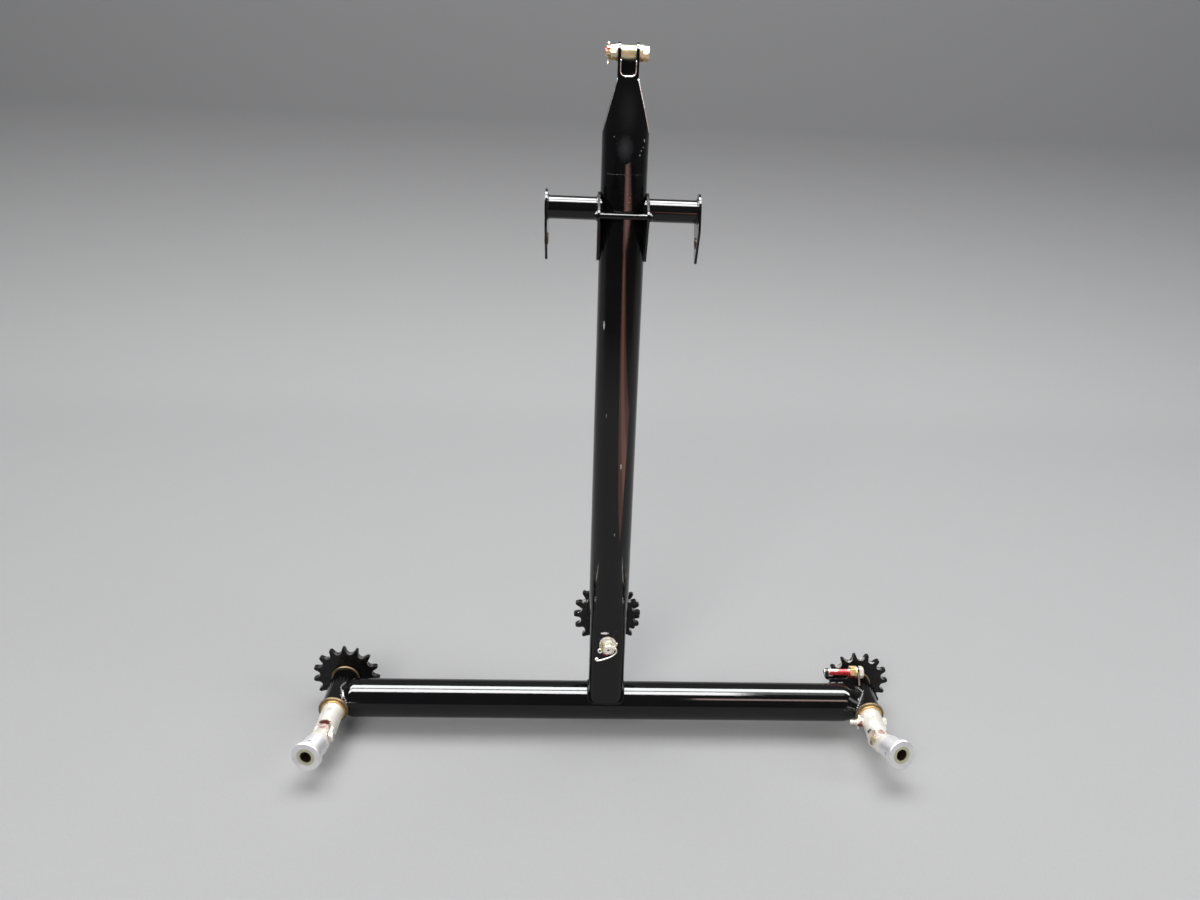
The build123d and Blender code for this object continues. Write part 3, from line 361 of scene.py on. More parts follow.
def wornSprocket(name, look, centre, wear):
    material, tree, bsdf, where = newMaterial(name, {"Specular IOR Level": 0.25})
    inputs = {"Vector": where, "Location": centre}
    centred = addNode(tree, "ShaderNodeMapping", inputs, vector_type="TEXTURE").outputs["Vector"]
    inputs = {0: centred, 1: (1, 0, 1)}
    flat = addNode(tree, "ShaderNodeVectorMath", inputs, operation="MULTIPLY").outputs["Vector"]
    radius = addNode(tree, "ShaderNodeVectorMath", {0: flat}, operation="LENGTH").outputs["Value"]
    normal = addNode(tree, "ShaderNodeTexCoord").outputs["Normal"]
    facing = addNode(tree, "ShaderNodeSeparateXYZ", {"Vector": normal}).outputs["Y"]
    edge = between(tree, calc(tree, "ABSOLUTE", facing), 0.75, 0.35)
    # rollers have polished the seats and flanks; the flat faces keep their paint, rubbed in patches
    low = between(tree, radius, look["wearFrom"], look["wearFrom"] + look["seatFade"])
    high = between(tree, radius, look["wearTo"], look["wearTo"] - look["rimFade"])
    seats = calc(tree, "MULTIPLY", edge, calc(tree, "MULTIPLY", low, high))
    patchy = between(tree, noise(tree, where, look["patchScale"], 4.0), 0.42, 0.54)
    bare = calc(tree, "MULTIPLY", calc(tree, "MULTIPLY", seats, patchy), wear)
    rubbed = between(tree, noise(tree, where, look["rubScale"], 5.0), 0.5, 0.72)
    rubbed = calc(tree, "MULTIPLY", rubbed, look["rubShare"])
    paint = blendColour(tree, rubbed, look["black"], look["rubbed"])
    greasy = between(tree, noise(tree, where, look["greaseScale"], 3.0), 0.52, 0.7)
    greasy = calc(tree, "MULTIPLY", greasy, look["greaseShare"])
    paint = blendColour(tree, greasy, paint, look["grease"])
    colour = blendColour(tree, bare, paint, look["bare"])
    polish = noise(tree, where, look["glossScale"], 4.0)
    rough = between(tree, polish, 0.3, 0.75, look["gloss"], look["dull"])
    feed(tree, bsdf, Base_Color=colour, Metallic=bare, Roughness=rough)
    bump(tree, bsdf, noise(tree, where, look["castScale"], 3.0), *look["relief"], look["edge"])
    return material


aluminiumLook = {
    "pale": (0.82, 0.81, 0.82), "deep": (0.50, 0.48, 0.52),
    "gloss": 0.28, "toolMarks": 2600.0, "dull": 80.0, "relief": (0.3, 0.04 * mm),
}


def turnedAluminium(name, look, centre, axis):
    material, tree, bsdf, where = newMaterial(name, {"Metallic": 0.7})
    along, radius = axisPlaces(tree, where, centre, axis)
    # the lathe leaves rings that depend on the radius and the distance along the axis alone
    rings = addNode(tree, "ShaderNodeCombineXYZ", {"X": along, "Y": radius}).outputs["Vector"]
    marks = noise(tree, rings, look["toolMarks"], 2.0)
    dull = between(tree, noise(tree, where, look["dull"], 5.0), 0.45, 0.75)
    tone = calc(tree, "ADD", calc(tree, "MULTIPLY", dull, 0.45), between(tree, marks, 0.4, 0.75, 0.0, 0.3))
    feed(
        tree,
        bsdf,
        Base_Color=blendColour(tree, tone, look["pale"], look["deep"]),
        Roughness=between(tree, marks, 0.3, 0.7, look["gloss"], look["gloss"] + 0.18),
    )
    bump(tree, bsdf, marks, *look["relief"])
    return material


# chips and scuffs in the column's paint, and last a painted reflection of the idler nut's bright top:
# place, half sizes, colour, raggedness
columnMarks = [
    ((-13.0, -13.9, -95.7), (0.8, 1.0, 3.2), (0.60, 0.60, 0.58), 0.5),
    ((6.1, -18.0, -224.0), (0.5, 1.0, 2.6), (0.45, 0.44, 0.42), 0.5),
    ((4.9, -18.4, 12.0), (0.5, 0.8, 0.6), (0.35, 0.06, 0.04), 0.3),
    ((4.4, -18.4, 8.6), (1.3, 0.8, 0.3), (0.35, 0.06, 0.04), 0.3),
    ((2.5, -18.8, -292.0), (0.4, 1.0, 1.3), (0.30, 0.29, 0.28), 0.6),
    ((-8.5, -17.0, -176.0), (0.3, 1.0, 1.8), (0.22, 0.22, 0.21), 0.6),
    # a painted reflection, pale pink: the idler nut's top mirrored in the gloss just above it
    ((-3.4, -17.6, -399.4), (4.4, 1.6, 1.2), (0.80, 0.72, 0.74), 0.35),
]
forkMarks = [
    # the first two are painted reflections: soft grey sheens on the fork's flattened front
    ((-0.5, -17.6, 51.0), (7.5, 4.0, 12.5), (0.034, 0.034, 0.036), 0.12, 0.1),
    ((1.0, -13.5, 78.0), (9.0, 6.0, 24.0), (0.013, 0.013, 0.014), 0.12, 0.1),
]
forkMarks += [
    ((x, y, z), (size, 1.2, size * stretch), (0.44, 0.43, 0.41), 0.35)
    for x, y, z, size, stretch in (
        (-9.5, -15.3, 58.6, 0.5, 1.5),
        (-6.6, -15.8, 49.8, 0.4, 2.2),
        (-7.6, -15.6, 53.6, 0.28, 3.0),
        (14.9, -12.0, 56.5, 0.55, 2.2),
        (14.0, -13.0, 51.2, 0.4, 1.6),
        (12.6, -14.2, 48.6, 0.35, 1.4),
        (11.5, -15.2, 45.2, 0.4, 1.8),
    )
]
# painted highlights: pale, bright blotches on the welds between crossbar and housings
weldHighlightMarks = [
    (place, halfSize, (0.74, 0.73, 0.74), 0.8)
    for place, halfSize in (
        ((-259.8, -10.5, -470.2), (2.3, 4.0, 2.0)),
        ((-258.4, -11.5, -476.4), (2.0, 4.0, 3.6)),
        ((254.2, -10.5, -472.6), (1.6, 5.0, 2.4)),
        ((256.6, -10.5, -470.2), (1.3, 5.0, 1.8)),
    )
]
redPaint = (0.60, 0.028, 0.035)
stopMarks = [
    ((246.8, 18.6, -466.9), (8.2, 6.4, 5.2), redPaint, 0.2),
    ((236.4, 18.4, -468.8), (6.2, 5.4, 4.3), redPaint, 0.25),
    ((229.2, 22.0, -467.3), (2.7, 6.0, 6.0), (0.02, 0.018, 0.018), 0.1),
]
stopNutMarks = [
    ((252.4, 17.0, -470.0), (3.0, 5.0, 5.6), redPaint, 0.3),
    ((257.4, 16.4, -472.2), (2.4, 4.0, 3.0), redPaint, 0.3),
]
forkMarksRed = [
    # a brown painted shade over the lower half of the fork's bolt, nut and washers; then red paint at the
    # bolt's end
    ((0.0, -3.0, 115.6), (19.0, 7.0, 3.4), (0.34, 0.22, 0.08), 0.3),
    ((-17.8, -1.5, 123.0), (2.6, 3.2, 2.4), redPaint, 0.4),
]
yokeNutMarks = [((254.0, -34.5, -491.0), (3.4, 5.0, 5.4), (0.20, 0.022, 0.025), 0.3)]
idlerMarks = [
    # the first mark is red paint darkened by painted shade along the bottom of the idler's nut
    ((1.5, -26.0, -419.0), (9.0, 6.0, 4.3), (0.42, 0.10, 0.08), 0.4),
    ((-6.6, -26.0, -408.0), (2.6, 6.0, 6.5), (0.52, 0.46, 0.26), 0.5),
    ((0.6, -29.4, -410.6), (1.5, 0.8, 1.5), (0.10, 0.06, 0.05), 0.2),
]
# on the inner yokes: a dark red painted shade in the left slot's crotch; on the right a near-black painted
# shade and a pinkish patch
crotchShadeRed = (0.17, 0.045, 0.035)
jointMarks = {
    "left": [((-266.7, -51.0, -480.0), (6.4, 1.9, 3.4), crotchShadeRed, 0.3)],
    "right": [
        ((257.2, -53.5, -485.4), (3.2, 3.6, 4.2), (0.05, 0.022, 0.018), 0.3),
        ((266.7, -61.0, -478.6), (4.4, 4.4, 1.4), (0.50, 0.36, 0.32), 0.3),
    ],
}
stemMarks = {
    "left": [((-266.2, -58.8, -478.6), (5.0, 5.2, 2.8), (0.70, 0.50, 0.44), 0.5)],
    "right": [((257.8, -64.0, -484.0), (3.4, 6.5, 6.0), (0.55, 0.47, 0.27), 0.5)],
}

materials = {
    "enamel": glossEnamel("blackEnamel", enamelLook),
    "columnEnamel": glossEnamel("columnEnamel", enamelLook, columnMarks),
    "forkEnamel": glossEnamel("forkEnamel", enamelLook, forkMarks),
    "housingEnamel": glossEnamel("housingEnamel", enamelLook, weldHighlightMarks),
    "white": platedSteel("whitePlate", plateLook["white"]),
    "olive": platedSteel("olivePlate", plateLook["olive"], forkMarksRed[:1]),
    "oliveRed": platedSteel("olivePlateRedEnd", plateLook["olive"], forkMarksRed),
    "idlerWhite": platedSteel("whitePlateRedEdge", plateLook["white"], idlerMarks),
    "yellow": platedSteel("yellowPlate", plateLook["yellow"]),
    "stopPaint": platedSteel("paintedStop", plateLook["white"], stopMarks),
    "stopNutPaint": platedSteel("paintedStopNut", plateLook["yellow"], stopNutMarks),
    "yokeNutPaint": platedSteel("paintedYokeNut", plateLook["white"], yokeNutMarks),
    "wire": platedSteel("cotterWire", plateLook["wire"]),
    "flange": platedSteel("flangePlate", plateLook["flange"]),
    "shadedOlive": platedSteel("shadedOlivePlate", plateLook["shadedOlive"]),
    "block": platedSteel("jointBlockShadedPlate", plateLook["block"]),
    "sunk": groundMetal("sunkPinShaded", steelLook["sunk"], "Z"),
    "seam": glossEnamel("seamEnamel", seamLook),
    "steel": groundMetal("groundSteel", steelLook["steel"]),
    "bronze": groundMetal("oiledBronze", steelLook["bronze"], "X"),
    "pin": groundMetal("jointPinShadedSteel", steelLook["pin"], "Z"),
    "dark": groundMetal("blackedBronze", steelLook["dark"], "X"),
    "rubbed": groundMetal("rubbedEdgeHighlight", steelLook["rubbed"], "Z"),
    "idler": wornSprocket("idlerBlack", sprocketLook, (0, 0, idlerZ), seatWear["idler"]),
}
for side, sign in (("left", -1), ("right", 1)):
    wheel, wear = (sign * shaftX, 0, barZ), seatWear[side]
    materials[f"sprocket_{side}"] = wornSprocket(f"sprocketBlack_{side}", sprocketLook, wheel, wear)
    mount = next(m for m in frame["record"]["mounts"] if m["name"] == f"adapter_bore_{side}")
    place, axis, stemDepth = mount["pos_m"], mount["axis"], mount["dims"]["length_mm"] * mm
    materials[f"adapter_{side}"] = turnedAluminium(f"turnedAluminium_{side}", aluminiumLook, place, axis)
    mouth = [p + a * stemDepth / 2 for p, a in zip(place, axis)]
    bore = {"place": mouth, "axis": axis, "radius": mount["dims"]["r_mm"] * mm}
    materials[f"stem_{side}"] = platedSteel(f"stemPlate_{side}", plateLook["cream"], stemMarks[side], bore)
    materials[f"yoke_{side}"] = platedSteel(f"yokePlate_{side}", plateLook["cream"], jointMarks[side])

# a node takes its own finish where it has one, and otherwise that of its slot
slotFinish = {
    "black_enamel": "enamel",
    "black_sprocket": "idler",
    "yellow_plated_steel": "yellow",
    "cotter_steel": "wire",
    "plain_steel": "steel",
    "bronze": "bronze",
}
ownFinish = {
    "column_tube": "columnEnamel",
    "column_fork": "forkEnamel",
    "guard_clips": "enamel",
    "shaft_bushes": "flange",
    "plate_bushes": "dark",
    "fork_bolt": "oliveRed",
    "fork_nut": "oliveRed",
    "fork_washers": "olive",
    "fork_bushing": "shadedOlive",
    "idler_bolt": "idlerWhite",
    "idler_nut": "idlerWhite",
    "idler_washers": "idlerWhite",
    "stop_bolt": "stopPaint",
    "stop_nut": "stopNutPaint",
    "yoke_bolt_right": "white",
    "yoke_nut_right": "yokeNutPaint",
}
for side in ("left", "right"):
    ownFinish[f"bearing_housing_{side}"] = "housingEnamel"
    ownFinish[f"sprocket_{side}"] = f"sprocket_{side}"
    ownFinish[f"adapter_{side}"] = f"adapter_{side}"
    ownFinish[f"outer_yoke_{side}"] = f"stem_{side}"
    ownFinish[f"joint_pins_{side}"] = "pin"
    ownFinish[f"joint_block_{side}"] = "block"
    ownFinish[f"inner_yoke_{side}"] = f"yoke_{side}"
    ownFinish[f"adapter_pins_{side}"] = "sunk"
slotOf = {part["node"]: part["material_slot"] for part in frame["record"]["subparts"]}
for node, slot in slotOf.items():
    mesh = nodes[node].data
    mesh.materials.clear()
    mesh.materials.append(materials[ownFinish.get(node) or slotFinish[slot]])
print("finishes given to", len(nodes), "nodes")


def finishPiece(bm, name, body, finish, hides=()):
    bmesh.ops.remove_doubles(bm, verts=list(bm.verts), dist=0.00001)
    bmesh.ops.recalc_face_normals(bm, faces=list(bm.faces))
    mesh = bpy.data.meshes.new(name)
    bm.to_mesh(mesh)
    bm.free()
    for face in mesh.polygons:
        face.use_smooth = True
    mesh.materials.append(materials[finish])
    piece = bpy.data.objects.new(name, mesh)
    bpy.context.scene.collection.objects.link(piece)
    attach(piece, body)
    if hides:
        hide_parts(*hides)
    return piece


# the crossbar again with smoothly formed ends, so that its long highlight bends as paint on a tube does;
# each end's pinch starts and is full at these distances from its shaft's axis
barLook = {
    "sides": 96,
    "pinch": {-1: (17.0 * mm, 3.5 * mm), 1: (25.0 * mm, 5.0 * mm)},
    "pinchRings": 22,
    "straightParts": 4,
    "sideGap": 0.3 * mm,
    "copeShare": 0.98,
    "copeGap": 0.2 * mm,
    "wall": 1.65 * mm,
    "sharpDegrees": 50,
    "name": "crossbarForm",
}


def makeBar(look):
    pinched = (housingRadius - look["sideGap"]) / barRadius
    bm = bmesh.new()
    turn = Matrix.Rotation(math.radians(90), 4, "Y")
    bmesh.ops.create_circle(bm, segments=look["sides"], radius=barRadius, matrix=turn)
    spans = {way: [shaftX - reach for reach in reaches] for way, reaches in look["pinch"].items()}
    steps = [i / look["pinchRings"] for i in range(look["pinchRings"] + 1)]
    rings = {}
    for way, (start, stop) in spans.items():
        rings[way] = [way * (start + (stop - start) * t) for t in steps]
    parts = look["straightParts"]
    straight = [spans[1][0] * k / parts for k in range(1 - parts, parts)]
    places = rings[-1][::-1] + straight + rings[1]
    ring = list(bm.edges)
    bmesh.ops.translate(bm, verts=list(bm.verts), vec=(places[0], 0, 0))
    for before, after in zip(places, places[1:]):
        swept = bmesh.ops.extrude_edge_only(bm, edges=ring)["geom"]
        ring = [item for item in swept if isinstance(item, bmesh.types.BMEdge)]
        verts = [item for item in swept if isinstance(item, bmesh.types.BMVert)]
        bmesh.ops.translate(bm, verts=verts, vec=(after - before, 0, 0))
    for vert in bm.verts:
        start, stop = spans[-1 if vert.co.x < 0 else 1]
        share = min(max((abs(vert.co.x) - start) / (stop - start), 0), 1)
        smooth = share * share * (3 - 2 * share)
        vert.co.z *= 1 - (1 - pinched) * smooth
        # the coped ends follow the round housings
        high = min(vert.co.z**2, (look["copeShare"] * housingRadius) ** 2)
        cope = shaftX - math.sqrt(housingRadius**2 - high)
        if share > 0.999:
            vert.co.x = math.copysign(cope, vert.co.x)
        else:
            vert.co.x = math.copysign(min(abs(vert.co.x), cope - look["copeGap"]), vert.co.x)
        vert.co.z += barZ
    bmesh.ops.recalc_face_normals(bm, faces=list(bm.faces))
    bmesh.ops.solidify(bm, geom=list(bm.faces), thickness=look["wall"])
    piece = finishPiece(bm, look["name"], "column_frame", "enamel", ["crossbar_tube"])
    piece.data.set_sharp_from_angle(angle=math.radians(look["sharpDegrees"]))


makeBar(barLook)
print("crossbar formed")

beadLook = {
    "radius": 1.35 * mm,
    "pitch": 2.1 * mm,
    "ripple": 0.2,
    "wander": 0.05,
    "wanderRate": 0.9,
    "step": 0.45 * mm,
}
beadSize = {"pivot": 0.75, "gusset": 0.7, "housing": 1.6, "foot": 0.8, "stop": 0.8}
# how far the middle of a bead stands off what it lies on
beadOff = {"plate": 0.1 * mm, "tube": 0.2 * mm, "housing": 0.3 * mm}


def evenly(route, step, fine=1500):
    # points at even spacing along a route, which is a function from 0 to 1
    dense = [Vector(route(i / fine)) for i in range(fine + 1)]
    chosen, gone = [dense[0]], 0.0
    for before, after in zip(dense, dense[1:]):
        gone += (after - before).length
        if gone >= step:
            chosen.append(after)
            gone = 0.0
    return chosen


def tubeAlong(name, runs, body, finish, hides=()):
    # runs of points with a radius each, swept round; closed ones meet their own start
    curve = bpy.data.curves.new(name, "CURVE")
    curve.dimensions = "3D"
    curve.bevel_depth = 1.0
    curve.bevel_resolution = 3
    curve.use_fill_caps = True
    for points, radii, closed, kind in runs:
        spline = curve.splines.new(kind)
        spline.points.add(len(points) - 1)
        for item, place, radius in zip(spline.points, points, radii):
            item.co = (*place, 1.0)
            item.radius = radius
        spline.use_cyclic_u = closed
        if kind == "NURBS":
            spline.order_u = 4
            spline.use_endpoint_u = True
            spline.resolution_u = 6
    holder = bpy.data.objects.new(name + "Route", curve)
    bpy.context.scene.collection.objects.link(holder)
    bpy.context.view_layer.update()
    made = bpy.data.meshes.new_from_object(holder.evaluated_get(bpy.context.evaluated_depsgraph_get()))
    bm = bmesh.new()
    bm.from_mesh(made)
    bpy.data.objects.remove(holder)
    bpy.data.meshes.remove(made)
    return finishPiece(bm, name, body, finish, hides)


def weldBead(name, routes, body, size, finish="enamel"):
    runs = []
    for route, closed in routes:
        points = evenly(route, beadLook["step"])
        if closed:
            points.pop()
        radii = []
        for i in range(len(points)):
            way = i * beadLook["step"] / beadLook["pitch"]
            scallop = 1 - beadLook["ripple"] * abs(math.sin(math.pi * way))
            drift = beadLook["wander"] * math.sin(beadLook["wanderRate"] * way)
            radii.append(beadLook["radius"] * size * (scallop + drift))
        runs.append((points, radii, closed, "POLY"))
    tubeAlong(name, runs, body, finish)


def ringRoute(x, radius):
    def route(t):
        return (x, radius * math.cos(2 * math.pi * t), radius * math.sin(2 * math.pi * t))

    return route


def copeRoute(sign):
    # where the crossbar's pinched end meets the round housing
    high = housingRadius - barLook["sideGap"]

    def route(t):
        y, z = barRadius * math.cos(2 * math.pi * t), high * math.sin(2 * math.pi * t)
        reach = housingRadius + beadOff["housing"]
        return (sign * (shaftX - math.sqrt(reach**2 - z * z)), y, barZ + z)

    return route


footHalf = {"x": 17.7 * mm, "y": 17.6 * mm, "corner": 0.2}


def footRoute(t):
    # the squared foot's outline, laid on the round crossbar
    c, s = math.cos(2 * math.pi * t), math.sin(2 * math.pi * t)
    x = footHalf["x"] * math.copysign(abs(c) ** footHalf["corner"], c)
    y = footHalf["y"] * math.copysign(abs(s) ** footHalf["corner"], s)
    return (x, y, barZ + math.sqrt(barRadius**2 - y * y) + beadOff["tube"])


def lineRoute(start, stop):
    def route(t):
        return [(a + (b - a) * t) * mm for a, b in zip(start, stop)]

    return route


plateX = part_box("end_plate_right")
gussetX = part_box("gusset_plate_right")
# straight seams, in millimetres: two up each gusset plate, two along the stop's bracket
gussetSeam = {"x": 18.6, "z": (-39.0, -11.0), "y": (-6.0, 6.0)}
stopSeams = {"y": 12.3, "z": -474.2, "spans": ((232.5, 238.0), (240.5, 245.5))}
for side, sign in (("left", -1), ("right", 1)):
    inner, outer = gussetX[1].x + beadOff["plate"], plateX[0].x - beadOff["plate"]
    rings = [(ringRoute(sign * x, pivotRadius + beadOff["tube"]), True) for x in (inner, outer)]
    weldBead(f"pivotWelds_{side}", rings, "column_frame", beadSize["pivot"])
    x, (low, high) = sign * gussetSeam["x"], gussetSeam["z"]
    seams = [(lineRoute((x, y, low), (x, y, high)), False) for y in gussetSeam["y"]]
    weldBead(f"gussetWelds_{side}", seams, "column_frame", beadSize["gusset"])
    cope = [(copeRoute(sign), True)]
    weldBead(f"housingWeld_{side}", cope, "column_frame", beadSize["housing"], "housingEnamel")
weldBead("footWeld", [(footRoute, True)], "column_frame", beadSize["foot"], "seam")
y, z = stopSeams["y"], stopSeams["z"]
stopRoutes = [(lineRoute((start, y, z), (stop, y, z)), False) for start, stop in stopSeams["spans"]]
weldBead("stopWelds", stopRoutes, "column_frame", beadSize["stop"])
print("welds laid")

# the fork's edges and the rim of its notch as thin bright wires, part rubbed paint and part painted
# highlight, in millimetres
forkEdge = {
    "neckZ": 102.0,
    "neckY": 9.5,
    "neckX": 8.4,
    "fullZ": 61.0,
    "flatZ": 39.0,
    "radius": 19.05,
    "inset": 0.25,
    "step": 1.5,
    "wire": {1: 0.42, -1: 0.16},
}


def forkEdgeRoute(sign):
    # the bright edge of the flattened front, rubbed and painted as a highlight, down the taper to the
    # round tube
    e = forkEdge

    def route(t):
        z = e["neckZ"] + (e["fullZ"] - e["neckZ"]) * t
        x = e["neckX"] + (e["radius"] - e["neckX"]) * t - e["inset"]
        flat = e["neckY"] + (e["radius"] - e["neckY"]) * (e["neckZ"] - z) / (e["neckZ"] - e["flatZ"])
        y = min(flat, math.sqrt(e["radius"] ** 2 - x * x))
        return (sign * x * mm, -y * mm, z * mm)

    return route


notchRim = {
    "half": 6.1,
    "y": -9.45,
    "top": 116.0,
    "bottom": 103.65,
    "corner": 4.0,
    "step": 0.7,
    "wire": 0.42,
}


def notchRoute(t):
    # down one side of the cable notch, round its bottom and up the other
    half, corner = notchRim["half"], notchRim["corner"]
    straight = notchRim["top"] - notchRim["bottom"] - corner
    arc = math.pi / 2 * corner
    flat = 2 * (half - corner)
    gone = t * (2 * straight + 2 * arc + flat)
    low = notchRim["bottom"]
    if gone < straight:
        x, z = -half, notchRim["top"] - gone
    elif gone < straight + arc:
        turn = (gone - straight) / corner
        x, z = corner - half - corner * math.cos(turn), low + corner - corner * math.sin(turn)
    elif gone < straight + arc + flat:
        x, z = corner - half + gone - straight - arc, low
    elif gone < straight + 2 * arc + flat:
        turn = (gone - straight - arc - flat) / corner
        x, z = half - corner + corner * math.sin(turn), low + corner - corner * math.cos(turn)
    else:
        x, z = half, low + corner + gone - straight - 2 * arc - flat
    return (x * mm, notchRim["y"] * mm, z * mm)


edgeRuns = []
for sign, thick in forkEdge["wire"].items():
    points = evenly(forkEdgeRoute(sign), forkEdge["step"] * mm)
    # the bright line, rubbed paint and painted highlight, thins out down the taper
    fades = [thick * mm * (1.1 - 0.6 * i / len(points)) for i in range(len(points))]
    edgeRuns.append((points, fades, False, "POLY"))
rimPoints = evenly(notchRoute, notchRim["step"] * mm)
edgeRuns.append((rimPoints, [notchRim["wire"] * mm] * len(rimPoints), False, "POLY"))
tubeAlong("forkEdgeHighlights", edgeRuns, "column_frame", "rubbed")

# the yoke bolt's rounded end: places along x with the radius at each, in millimetres
boltEnd = {
    "y": -32.4,
    "z": -488.95,
    "profile": ((248.9, 2.3), (246.5, 2.3), (244.6, 2.3), (244.2, 2.1), (243.9, 1.5)),
}
endPoints = [Vector((x, boltEnd["y"], boltEnd["z"])) * mm for x, radius in boltEnd["profile"]]
endRun = (endPoints, [radius * mm for x, radius in boltEnd["profile"]], False, "POLY")
tubeAlong("yokeBoltEnd", [endRun], "right_wheel_drive", "white")
print("edges and bolt end made")

cotterWire = {
    "leg": 0.7 * mm,
    "eye": 1.5 * mm,
    "eyeSteps": 8,
    "eyeSpread": 0.6,
    "legSpread": 0.9,
    "legPlaces": (0.7, -0.4, -0.85),
}
# centre, way of the pin, way across its two legs, reach to the eye, and where each bent leg goes,
# in millimetres
cotters = {
    "fork_cotter": {
        "centre": (-15.7, 0.0, 120.65),
        "pin": (0, 0, 1),
        "side": (0, 1, 0),
        "reach": 4.2,
        "body": "column_frame",
        "tails": {
            1: [(0, 0.7, -5.6), (-0.3, 2.2, -6.6), (-0.5, 3.9, -6.2)],
            -1: [(0, -0.7, -5.9), (-0.2, -1.8, -7.6), (-0.3, -3.4, -8.6)],
        },
    },
    "yoke_cotter_right": {
        "centre": (252.4, -32.4, -488.95),
        "pin": (0, 0, 1),
        "side": (0, 1, 0),
        "reach": 4.2,
        "body": "right_wheel_drive",
        "tails": {
            1: [(0, 0.6, -4.6), (-0.3, 1.8, -6.2), (-0.6, 3.0, -7.2)],
            -1: [(0, -0.6, -4.8), (-0.2, -1.8, -5.6), (-0.4, -3.1, -5.6)],
        },
    },
    "idler_cotter": {
        "centre": (0.0, -26.1, -410.95),
        "pin": (-0.94, 0, -0.34),
        "side": (-0.34, 0, 0.94),
        "reach": 6.6,
        "body": "column_frame",
        "tails": {
            1: [(7.2, -0.9, 2.9), (8.2, -1.5, 4.6), (8.4, -1.7, 7.6)],
            -1: [
                (7.4, -1.0, 1.2),
                (8.6, -1.8, -1.6),
                (7.4, -2.6, -4.6),
                (1.0, -3.0, -8.4),
                (-6.2, -2.8, -11.4),
                (-10.4, -2.4, -12.4),
                (-12.3, -2.0, -10.6),
                (-10.6, -1.8, -9.4),
                (-8.8, -1.8, -10.4),
            ],
        },
    },
}


def makeCotter(name, settings):
    centre = Vector(settings["centre"]) * mm
    pin, side = Vector(settings["pin"]).normalized(), Vector(settings["side"]).normalized()
    leg, eye, reach = cotterWire["leg"], cotterWire["eye"], settings["reach"] * mm
    steps, spread = cotterWire["eyeSteps"], cotterWire["legSpread"]
    middle = centre + pin * (reach + eye)
    runs = []
    for way in (1, -1):
        points = []
        for i in range(steps + 1):
            angle = math.pi * (1 - i / steps)
            out = eye * math.sin(angle) + leg * cotterWire["eyeSpread"]
            points.append(middle - pin * eye * math.cos(angle) + side * way * out)
        for share in cotterWire["legPlaces"]:
            points.append(centre + pin * reach * share + side * way * leg * spread)
        points += [centre + Vector(offset) * mm for offset in settings["tails"][way]]
        runs.append((points, [leg] * len(points), False, "NURBS"))
    tubeAlong(name + "Wire", runs, settings["body"], "wire", [name])


for name, settings in cotters.items():
    makeCotter(name, settings)
print("cotters bent")

# screw threads, in millimetres
threads = {
    "stopThread": {
        "from": (232.3, 22.0, -467.35), "axis": (1, 0, 0),
        "length": 21.0, "radius": 3.175, "pitch": 0.907,
        "finish": "stopPaint", "body": "column_frame", "slot": "yellow_plated_steel",
    },
    "yokeThread": {
        "from": (248.7, -32.4, -488.95), "axis": (1, 0, 0),
        "length": 2.6, "radius": 2.38, "pitch": 0.794,
        "finish": "white", "body": "right_wheel_drive", "slot": "yellow_plated_steel",
    },
    "forkThread": {
        "from": (-18.3, 0.0, 120.65), "axis": (1, 0, 0),
        "length": 1.4, "radius": 3.175, "pitch": 0.907,
        "finish": "oliveRed", "body": "column_frame", "slot": "yellow_plated_steel",
    },
    "idlerThread": {
        "from": (0.0, -29.0, -410.95), "axis": (0, 1, 0),
        "length": 1.4, "radius": 4.7625, "pitch": 1.058,
        "finish": "idlerWhite", "body": "column_frame", "slot": "yellow_plated_steel",
    },
}
# the ridge's half width as a share of the pitch, how deep its root is sunk and how high it rises
threadRidge = {"half": 0.42, "sunk": 0.06 * mm, "rise": 0.17 * mm, "stepsPerTurn": 20, "sharpDegrees": 35}


def makeThread(name, settings):
    # a three-cornered ridge turned round the shank on a screw line
    start, axis = Vector(settings["from"]) * mm, Vector(settings["axis"])
    across = Vector((0, 0, 1))
    pitch, radius = settings["pitch"] * mm, settings["radius"] * mm
    half, perTurn = threadRidge["half"] * pitch, threadRidge["stepsPerTurn"]
    root, crest = radius - threadRidge["sunk"], radius + threadRidge["rise"]
    bm = bmesh.new()
    corners = ((-half, root), (0.0, crest), (half, root))
    verts = [bm.verts.new(start + axis * along + across * out) for along, out in corners]
    edges = [bm.edges.new((verts[i], verts[(i + 1) % 3])) for i in range(3)]
    turns = settings["length"] / settings["pitch"]
    steps = round(turns * perTurn)
    bmesh.ops.spin(
        bm,
        geom=verts + edges,
        cent=start,
        axis=axis,
        dvec=axis * (pitch / perTurn),
        angle=2 * math.pi * steps / perTurn,
        steps=steps,
    )
    bmesh.ops.holes_fill(bm, edges=[edge for edge in bm.edges if edge.is_boundary], sides=3)
    piece = finishPiece(bm, name, settings["body"], settings["finish"])
    piece.data.set_sharp_from_angle(angle=math.radians(threadRidge["sharpDegrees"]))


for name, settings in threads.items():
    makeThread(name, settings)
print("threads cut")


stageSettings = {
    "floorZ": cadBox[0][2],
    "wallY": 1.35,
    "bend": 0.5,
    "bendSteps": 16,
    "paper": {"Roughness": 0.9, "Specular IOR Level": 0.2},
    "floorColour": (0.52, 0.52, 0.525),
    "wallColour": (0.24, 0.24, 0.245),
    "riseFrom": 0.02,
    "riseTo": 0.5,
    "farColour": (0.07, 0.07, 0.072),
    "paleReach": 0.95,
    "farReach": 1.6,
    "fadeFrom": 0.2,
    "fadeTo": -0.6,
    "grainScale": 900.0,
    "halfWidth": 4.0,
    "front": -4.0,
    "height": 4.0,
}


